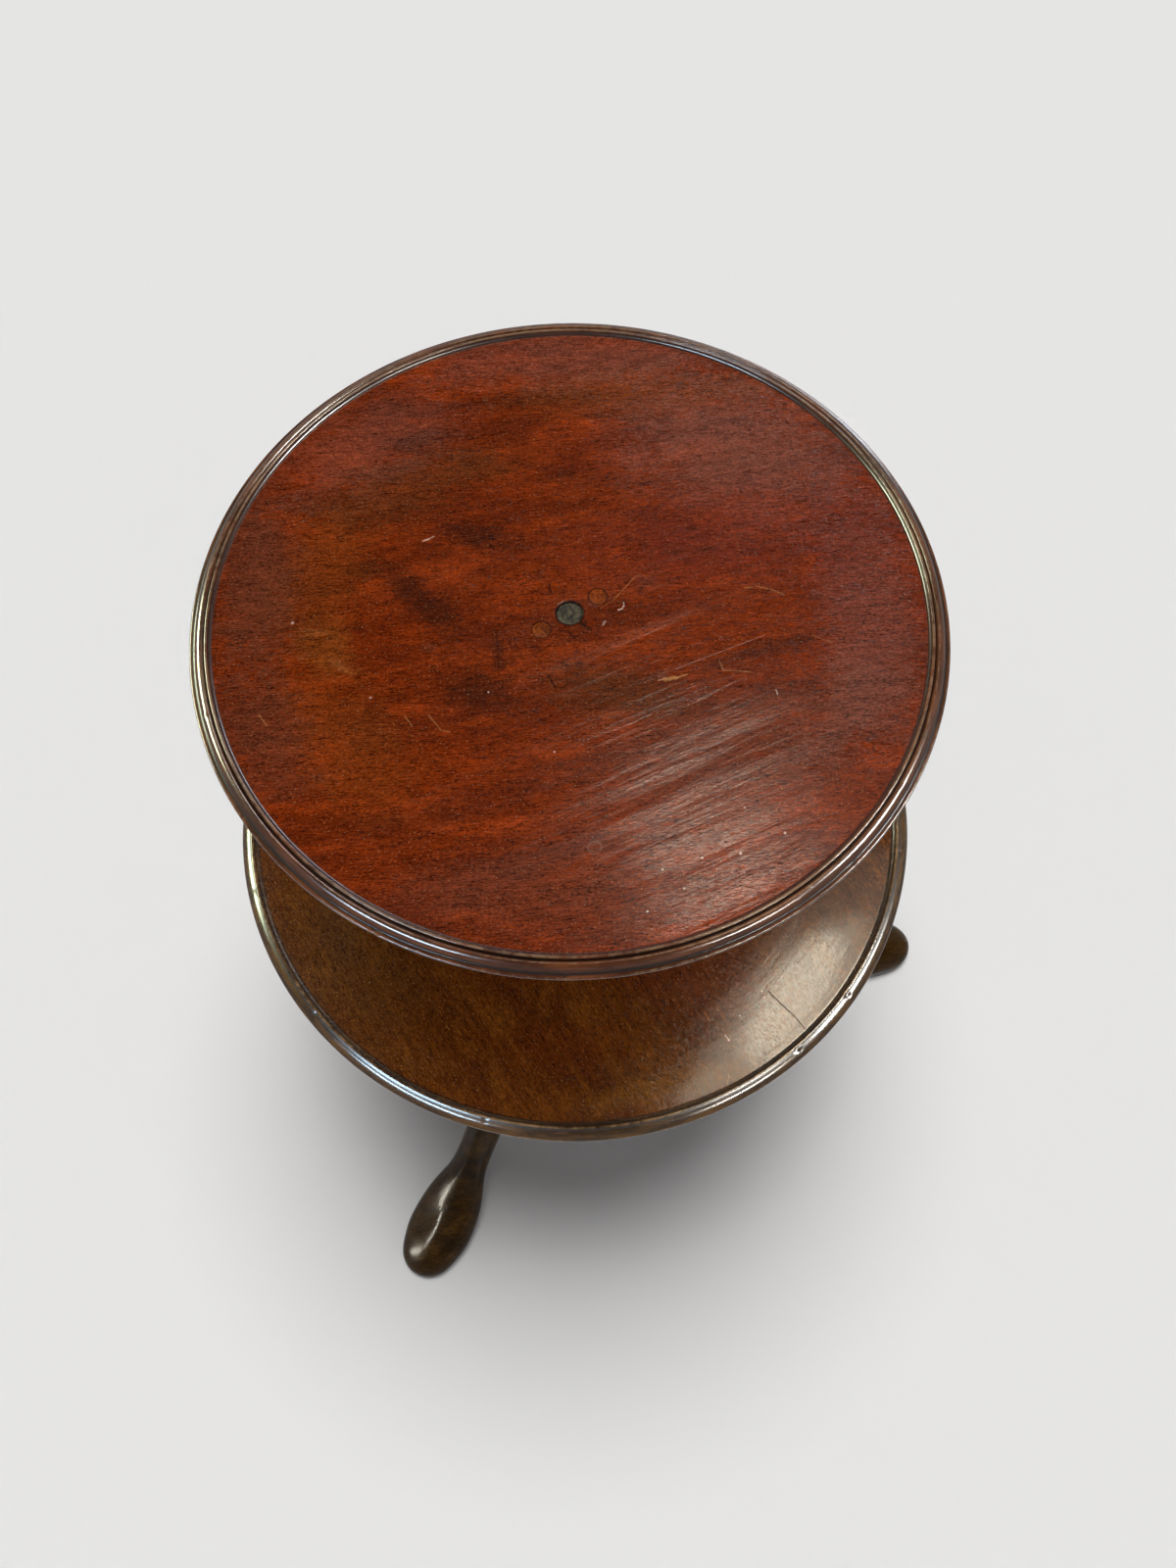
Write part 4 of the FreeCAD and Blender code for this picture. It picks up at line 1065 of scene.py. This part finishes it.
MARK_TONES = {
    "dark": tone(56, 22, 9),
    "shade": tone(48, 24, 14),
    "olive": tone(88, 46, 20),
    "amber": tone(126, 66, 22),
    # The crimson, mauve and film tones are painted reflection haze, not colours of the wood
    "crimson_reflection": tone(118, 42, 28),
    "mauve_reflection": tone(100, 53, 35),
    "painted_reflection": tone(128, 82, 68),
    "fleck": tone(140, 86, 30),
    "rust": tone(150, 80, 34),
    "russet": tone(84, 34, 8),
    "umber": tone(72, 43, 13),
    "gold": tone(112, 70, 20),
    "pale": tone(222, 186, 164),
    "dust": tone(196, 146, 104),
    "straw": tone(184, 128, 74),
    "black": tone(30, 16, 10),
}


# Where a tray's rim starts, from the edge of its floor, and how marks and dirt show
RING_CORE = 0.3
GROOVE_PLACE = 1.0 * MM
GROOVE_CORE = 0.3 * MM
GROOVE_WIDTH = 1.6 * MM
GROOVE_STRENGTH = 0.8
RIM_START = 0.2 * MM
RIM_FULL = 1.4 * MM
RAW_DEPTH = 3.0 * MM
GRAIN_DEPTH = 0.03 * MM
RIM_DIRT = 0.9
DIRT_DULL = 0.25
RAW_DULL = 0.4
RIM_GLOSS = 0.20
SCRATCH_DEPTH = 0.030 * MM
UNDERSIDE_TONE = tone(70, 40, 24)


def lay_patches(w, flat, grain, patches):
    """Patches of other tones, some of them painted reflection haze, with the same fine grain as the
    board.
    """
    colour = grain["Color"]
    for x, y, length, width, bearing, name, strength in patches:
        mask = w.group(patch_group, Vector=flat, Middle=(x * MM, y * MM, 0),
                       Length=length * MM, Width=width * MM,
                       Bearing=math.radians(bearing))["Mask"]
        patch = w.vector("MULTIPLY", MARK_TONES[name][:3], grain["Shade"])
        colour = w.blend(w.math("MULTIPLY", mask, strength), colour, patch)
    return colour


def lay_strokes(w, flat, colour, strokes):
    """Scratches and cracks, and a mask of the black cracks, which don't shine."""
    crack = 0.0
    for start, end, width, name, strength in strokes:
        mask = w.group(stroke_group, Vector=flat, Start=(start[0] * MM, start[1] * MM, 0),
                       End=(end[0] * MM, end[1] * MM, 0), Width=width * MM)["Mask"]
        mask = w.math("MULTIPLY", mask, strength)
        colour = w.blend(mask, colour, MARK_TONES[name])
        if name == "black":
            crack = w.math("MAXIMUM", crack, mask)
    return colour, crack


def lay_ring(w, flat, colour, row):
    """A thin ring, or a round speck where its radius is zero."""
    x, y, radius, width, name, strength = row
    away = w.vector("LENGTH", w.vector("SUBTRACT", flat, (x * MM, y * MM, 0)))
    off = w.math("ABSOLUTE", w.math("SUBTRACT", away, radius * MM))
    mask = w.span(off, width * MM * RING_CORE, width * MM, 1.0, 0.0)
    return w.blend(w.math("MULTIPLY", mask, strength), colour, MARK_TONES[name])


def lay_flecks(w, flat, colour, bearing, strength):
    """Fine gold flecks along the grain, in some parts of a board."""
    gold = stroke_noise(w, flat, bearing, 90, 520, 2, 0.6)
    where = w.noise(flat, 11.0, 2, 0.5)
    mask = w.math("MULTIPLY", w.span(gold, 0.60, 0.74), w.span(where, 0.42, 0.62))
    return w.blend(w.math("MULTIPLY", mask, strength), colour, MARK_TONES["fleck"])


def floor_colour(w, place, flat, grain, look):
    """A tray's figured floor with its marks and any painted reflection haze, and a mask of its
    black cracks.
    """
    colour = lay_patches(w, flat, grain, look["patches"])
    for x, y in look["shape"]["pellets"]:
        joint = (x / MM, y / MM, PELLET_RADIUS / MM) + look["pellet_joint"]
        colour = lay_ring(w, flat, colour, joint)
    for ring in look["rings"]:
        colour = lay_ring(w, flat, colour, ring)
    if look["flecks"]:
        colour = lay_flecks(w, flat, colour, look["bearing"], look["flecks"])
    colour, crack = lay_strokes(w, flat, colour, look["strokes"])
    for x, y, radius, name, strength in look["specks"]:
        colour = lay_ring(w, flat, colour, (x, y, 0.0, radius, name, strength))
    for scale, size, share, strength in look["dust"]:
        dust = w.group(speck_group, Vector=place, Scale=scale, Size=size * scale,
                       Share=share)["Mask"]
        colour = w.blend(w.math("MULTIPLY", dust, strength), colour, MARK_TONES["dust"])
    return colour, crack


def rim_colour(w, place, wear, look):
    """A tray's near-black rim, pale where it is rubbed and black in its hollows."""
    grain = w.noise(w.stretch(place, (30, 30, 300)), 1, 3, 0.6)
    colour = w.blend(w.span(grain, 0.35, 0.7), look["rim_dark"], look["rim_light"])
    colour = w.blend(wear["Rub"], colour, look["rubbed"])
    return w.blend(wear["Dirt"], colour, MARK_TONES["black"])


def tray_finish(name, look):
    """A tray's board: figured floor inside, near-black moulded rim, plain underside."""
    material, w, surface = new_finish(name)
    shape = look["shape"]
    edge = shape["radius"] - shape["rim_width"]
    place = object_place(w)
    flat = flat_place(w, place)
    radius = w.vector("LENGTH", flat)
    height_above = w.node("ShaderNodeSeparateXYZ", {"Vector": place}).outputs["Z"]
    on_rim = w.math("GREATER_THAN", radius, edge)
    off_rim = w.math("SUBTRACT", 1.0, on_rim)
    raw = w.math("LESS_THAN", height_above, shape["floor"] - RAW_DEPTH)
    raw = w.math("MULTIPLY", raw, w.math("LESS_THAN", radius, edge))
    wear = w.group(wear_group, Vector=place, Rub=look["rub"], Dirt=RIM_DIRT)
    grain = w.group(grain_group, Vector=w.turn(place, look["bearing"]), Dark=look["dark"],
                    Middle=look["middle"], Light=look["light"], Streaks=look["streaks"],
                    Pores=look["pores"])

    colour, crack = floor_colour(w, place, flat, grain, look)
    off_groove = w.math("ABSOLUTE", w.math("SUBTRACT", radius, edge + GROOVE_PLACE))
    groove = w.span(off_groove, GROOVE_CORE, GROOVE_WIDTH, GROOVE_STRENGTH, 0.0)
    colour = w.blend(groove, colour, MARK_TONES["black"])
    colour = w.blend(w.span(radius, edge + RIM_START, edge + RIM_FULL), colour,
                     rim_colour(w, place, wear, look))
    colour = w.blend(raw, colour, w.blend(0.5, grain["Color"], UNDERSIDE_TONE))
    w.feed(surface["Base Color"], colour)

    haze = stroke_noise(w, place, look["haze_bearing"], 3, 27, 5, 0.52)
    dull = w.span(w.noise(place, 300.0, 3, 0.7), 0.42, 0.70, 0.0, look["dull"])
    gloss = w.math("ADD", w.span(haze, 0.3, 0.7, *look["gloss"]), dull)
    gloss = w.math("MULTIPLY_ADD", crack, look["crack_dull"], gloss)
    gloss = w.math("ADD", gloss, w.math("MULTIPLY", wear["Dirt"], DIRT_DULL))
    gloss = w.math("ADD", gloss, w.math("MULTIPLY", raw, RAW_DULL))
    w.feed(surface["Roughness"], gloss)

    scratch = stroke_noise(w, place, look["haze_bearing"], 60, 1100, 2, 0.6)
    ripple = w.math("MULTIPLY", haze, look["ripple"])
    ripple = w.math("MULTIPLY_ADD", scratch, SCRATCH_DEPTH, ripple)
    height = w.math("MULTIPLY", grain["Height"], GRAIN_DEPTH)
    height = w.math("MULTIPLY_ADD", ripple, off_rim, height)
    w.feed(surface["Normal"], bump(w, height))
    w.feed(surface["Coat Weight"], on_rim)
    w.feed(surface["Coat Roughness"], RIM_GLOSS)
    w.feed(surface["Specular IOR Level"], look["shine"])
    return material


# Looks of the trays. The grain runs at bearing, and the polishing strokes at haze_bearing,
# or round the axis where that is None. pellet_joint: width in millimetres, tone and
# strength. dust: rows of cells in a metre, radius, share of the cells that hold a speck, and
# strength. rub: how much the edges are worn. gloss: least and most roughness; dull and
# crack_dull add to it. ripple: depth of the waves in the floor. shine: how much it mirrors
UPPER_TRAY_LOOK = {
    "shape": UPPER_SHAPE,
    "bearing": math.radians(3),
    "haze_bearing": math.radians(24),
    "dark": tone(99, 34, 7),
    "middle": tone(119, 42, 7),
    "light": tone(150, 56, 13),
    "streaks": 0.78,
    "pores": 0.40,
    "patches": UPPER_PATCHES,
    "strokes": UPPER_STROKES,
    "specks": UPPER_SPECKS,
    "dust": ((330.0, 0.55 * MM, 0.70, 0.30), (115.0, 0.34 * MM, 0.16, 0.5),
             (42.0, 0.6 * MM, 0.22, 0.6)),
    "rings": UPPER_RINGS,
    "pellet_joint": (1.1, "black", 0.85),
    "flecks": 0.0,
    "rim_dark": tone(72, 36, 16),
    "rim_light": tone(116, 65, 34),
    "rub": 0.50,
    "rubbed": tone(158, 126, 94),
    "gloss": (0.10, 0.16),
    "dull": 0.05,
    "crack_dull": 0.0,
    "ripple": 1.35 * MM,
    "shine": 0.16,
}
LOWER_TRAY_LOOK = {
    "shape": LOWER_SHAPE,
    "bearing": math.radians(119),
    "haze_bearing": None,
    "dark": tone(71, 32, 3),
    "middle": tone(80, 39, 4),
    "light": tone(100, 55, 11),
    "streaks": 0.75,
    "pores": 0.30,
    "patches": LOWER_PATCHES,
    "strokes": LOWER_STROKES,
    "specks": LOWER_SPECKS,
    "dust": ((330.0, 0.55 * MM, 0.70, 0.25), (115.0, 0.36 * MM, 0.20, 0.5),
             (45.0, 0.6 * MM, 0.20, 0.6)),
    "rings": (),
    "pellet_joint": (1.0, "black", 0.80),
    "flecks": 0.6,
    "rim_dark": tone(47, 29, 8),
    "rim_light": tone(84, 55, 16),
    "rub": 0.60,
    "rubbed": tone(150, 116, 76),
    "gloss": (0.09, 0.15),
    "dull": 0.14,
    "crack_dull": 0.5,
    "ripple": 0.62 * MM,
    "shine": 0.20,
}


WOOD_DEPTH = 0.05 * MM
PELLET_WOOD_DEPTH = 0.08 * MM
PELLET_GRAIN_BEARING = -0.9
IRON_DEPTH = 0.25 * MM
IRON_SCALE = 420.0
LEATHER_DEPTH = 0.08 * MM
RUBBED_WOOD = tone(128, 84, 56)
RUST = tone(70, 48, 32)
LEG_SMOOTH_ANGLE = math.radians(35)


def wood_finish(name, tones, gloss, upright=False, relief=True, shine=0.5):
    """Polished mahogany for turned and carved pieces: dark, middle and light tones."""
    material, w, surface = new_finish(name)
    place = along = object_place(w)
    if upright:
        along = w.node("ShaderNodeVectorRotate", {"Vector": place, "Angle": math.pi / 2},
                       rotation_type="Y_AXIS").outputs[0]
    grain = w.group(grain_group, Vector=along, Dark=tones[0], Middle=tones[1],
                    Light=tones[2], Streaks=0.7, Pores=0.3)
    colour = grain["Color"]
    rough = w.span(w.noise(place, 60.0, 3), 0.3, 0.7, *gloss)
    if relief:
        wear = w.group(wear_group, Vector=place, Rub=0.55, Dirt=0.85)
        colour = w.blend(wear["Rub"], colour, RUBBED_WOOD)
        colour = w.blend(wear["Dirt"], colour, MARK_TONES["black"])
        rough = w.math("ADD", rough, w.math("MULTIPLY", wear["Dirt"], DIRT_DULL))
    w.feed(surface["Base Color"], colour)
    w.feed(surface["Roughness"], rough)
    w.feed(surface["Normal"], bump(w, grain["Height"], WOOD_DEPTH))
    w.feed(surface["Specular IOR Level"], shine)
    return material


def pellet_finish(tones):
    """The pellets' wood: plain, a little matt, with its own bearing of the grain."""
    material, w, surface = new_finish("pellet_finish")
    grain = w.group(grain_group, Vector=w.turn(object_place(w), PELLET_GRAIN_BEARING),
                    Dark=tones[0], Middle=tones[1], Light=tones[2], Streaks=0.7, Pores=0.4)
    w.feed(surface["Base Color"], grain["Color"])
    w.feed(surface["Roughness"], 0.22)
    w.feed(surface["Specular IOR Level"], 0.1)
    w.feed(surface["Normal"], bump(w, grain["Height"], PELLET_WOOD_DEPTH))
    return material


def iron_finish(name, light, dark):
    """Old iron: dull grey, with a darker rough skin and rubbed high spots."""
    material, w, surface = new_finish(name)
    place = object_place(w)
    skin = w.noise(place, IRON_SCALE, 4, 0.65)
    pits = w.noise(place, IRON_SCALE * 4, 2, 0.5)
    colour = w.blend(w.span(skin, 0.42, 0.66), dark, light)
    colour = w.blend(w.span(pits, 0.60, 0.75, 0.0, 0.6), colour, RUST)
    w.feed(surface["Base Color"], colour)
    w.feed(surface["Metallic"], w.span(skin, 0.35, 0.6, 0.05, 0.35))
    w.feed(surface["Roughness"], w.span(pits, 0.3, 0.7, 0.42, 0.68))
    w.feed(surface["Normal"], bump(w, w.math("ADD", skin, pits), IRON_DEPTH))
    return material


def leather_finish(dark, light):
    """Worn leather, creased and stained, for the bearing washers."""
    material, w, surface = new_finish("washer_finish")
    place = object_place(w)
    creases = w.node("ShaderNodeTexVoronoi", {"Vector": place, "Scale": 900.0},
                     feature="DISTANCE_TO_EDGE").outputs["Distance"]
    stain = w.noise(place, 90.0, 3)
    w.feed(surface["Base Color"], w.blend(w.span(stain, 0.3, 0.7), dark, light))
    w.feed(surface["Roughness"], w.span(stain, 0.3, 0.7, 0.55, 0.75))
    w.feed(surface["Normal"], bump(w, w.span(creases, 0.0, 0.12), LEATHER_DEPTH))
    return material


def dress(piece, material):
    """Give a new piece its only material."""
    piece.data.materials.clear()
    piece.data.materials.append(material)


def dress_node(node, material):
    """Give a carried-over node its finish."""
    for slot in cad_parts[node].material_slots:
        slot.material = material


def place_piece(piece, body, slot, material, *nodes):
    """Finish a new piece, set it on its body, let it stand for its nodes, and give it back."""
    mark_relief(piece)
    dress(piece, material)
    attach(piece, body)
    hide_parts(*nodes)
    return piece


def merged_leg(node):
    """A leg's mesh, merged and smoothed, so that its relief can be read."""
    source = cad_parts[node]
    leg = bpy.data.objects.new(f"{node}_carved", source.data.copy())
    bpy.context.collection.objects.link(leg)
    take_up(leg)
    bpy.ops.object.mode_set(mode="EDIT")
    bpy.ops.mesh.select_all(action="SELECT")
    bpy.ops.mesh.remove_doubles(threshold=MERGE_REACH)
    bpy.ops.mesh.customdata_custom_splitnormals_clear()
    bpy.ops.object.mode_set(mode="OBJECT")
    bpy.ops.object.shade_smooth_by_angle(angle=LEG_SMOOTH_ANGLE)
    return leg


# Studio: one pale sheet, flat under the table and swept up all round it

STAGE_SIDES = 128
STAGE_RADIUS = 3.0
SWEEP_RADIUS = 0.6
STAGE_HEIGHT = 2.6
STAGE_DROP = 0.2 * MM
STAGE_TONES = ((0.80, 0.80, 0.80, 1.0), (0.815, 0.815, 0.815, 1.0))
STAGE_FADE = (0.75, 1.6)
MIRRORED_LOSS = 0.6
BACKDROP_TONE = tone(229, 229, 227)


def make_stage():
    """The pale floor and backdrop, which glow evenly beyond the table's shadow."""
    edge = STAGE_RADIUS + SWEEP_RADIUS
    corners = [(0, -STAGE_DROP, 0), (STAGE_RADIUS * 0.5, -STAGE_DROP, 0),
               (STAGE_RADIUS, -STAGE_DROP, 0), (edge, SWEEP_RADIUS, QUARTER_BULGE),
               (edge, STAGE_HEIGHT, 0)]
    sheet = turn_piece("studio_sheet", corners, STAGE_SIDES, softness=0, closed=False)
    material, w, surface = new_finish("studio_sheet_finish")
    nodes = material.node_tree.nodes
    place = object_place(w)
    w.feed(surface["Base Color"], w.blend(w.noise(place, 3.0, 2), *STAGE_TONES))
    w.feed(surface["Roughness"], 0.9)
    w.feed(surface["Specular IOR Level"], 0.0)
    rays = w.node("ShaderNodeLightPath").outputs
    strength = w.math("SUBTRACT", 1.0, w.math("MULTIPLY", rays["Is Glossy Ray"], MIRRORED_LOSS))
    glow = w.node("ShaderNodeEmission", {"Color": BACKDROP_TONE, "Strength": strength})
    seen = w.math("MAXIMUM", rays["Is Camera Ray"],
                  w.math("MAXIMUM", rays["Is Glossy Ray"], rays["Is Transmission Ray"]))
    away = w.vector("LENGTH", flat_place(w, place))
    far = w.math("MULTIPLY", w.span(away, *STAGE_FADE), seen)
    shown = w.mix_shader(far, nodes["Principled BSDF"].outputs[0], glow.outputs[0])
    clear = w.node("ShaderNodeBsdfTransparent").outputs[0]
    back = w.node("ShaderNodeNewGeometry").outputs["Backfacing"]
    w.feed(nodes["Material Output"].inputs["Surface"], w.mix_shader(back, shown, clear))
    dress(sheet, material)
    return [sheet]


def make_pieces():
    """The finished pieces of the table: upper tray, lower tray and all others."""
    turned = wood_finish("turned_finish", (tone(48, 22, 12), tone(74, 34, 18),
                                           tone(96, 50, 28)), (0.22, 0.36), upright=True)
    legs = wood_finish("leg_finish", (tone(40, 25, 7), tone(56, 37, 10), tone(76, 52, 17)),
                       (0.14, 0.24), shine=0.2)
    plain = wood_finish("boss_finish", (tone(52, 28, 16), tone(76, 42, 24), tone(96, 58, 34)),
                        (0.35, 0.5), relief=False, shine=0.35)
    pellets = pellet_finish((tone(98, 40, 8), tone(120, 52, 12), tone(134, 64, 18)))
    iron = iron_finish("iron_finish", tone(98, 88, 62), tone(30, 26, 15))
    steel = iron_finish("screw_finish", tone(120, 114, 104), tone(70, 64, 56))
    leather = leather_finish(tone(56, 36, 22), tone(92, 62, 38))
    upper = place_piece(make_upper_tray(), "upper_tray", "upper_tray_mahogany",
                        tray_finish("upper_tray_finish", UPPER_TRAY_LOOK), "upper_tray")
    lower = place_piece(make_lower_tray(), "lower_tray", "lower_tray_mahogany",
                        tray_finish("lower_tray_finish", LOWER_TRAY_LOOK), "lower_tray")
    upper_plugs = make_pellets("upper_pellet_plugs", UPPER_SHAPE)
    lower_plugs = make_pellets("lower_pellet_plugs", LOWER_SHAPE)
    others = [
        place_piece(upper_plugs, "upper_tray", "pellet_wood", pellets, "upper_screw_pellets"),
        place_piece(lower_plugs, "lower_tray", "pellet_wood", pellets, "lower_screw_pellets"),
        place_piece(make_pivot(), "stand", "wrought_iron", iron, "pivot_bolt"),
        place_piece(make_pedestal(), "stand", "turned_mahogany", turned, "pedestal_column"),
        place_piece(make_column(), "stand", "turned_mahogany", turned, "upper_column"),
    ]
    for node in ("leg_right", "leg_back_left", "leg_front_left"):
        others.append(place_piece(merged_leg(node), "stand", "leg_mahogany", legs, node))
    finishes = {
        "upper_tray_boss": plain, "lower_tray_boss": plain,
        "upper_bearing_washer": leather, "lower_bearing_washer": leather,
        "upper_boss_screws": steel, "lower_boss_screws": steel, "base_strap_screws": steel,
        "base_strap": iron,
    }
    for node, finish in finishes.items():
        dress_node(node, finish)
        others.append(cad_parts[node])
    return [upper], [lower], others


make_camera()
make_world()
studio_sheet = make_stage()
upper_board, lower_board, other_pieces = make_pieces()
make_lights(studio_sheet, upper_board, lower_board, other_pieces)
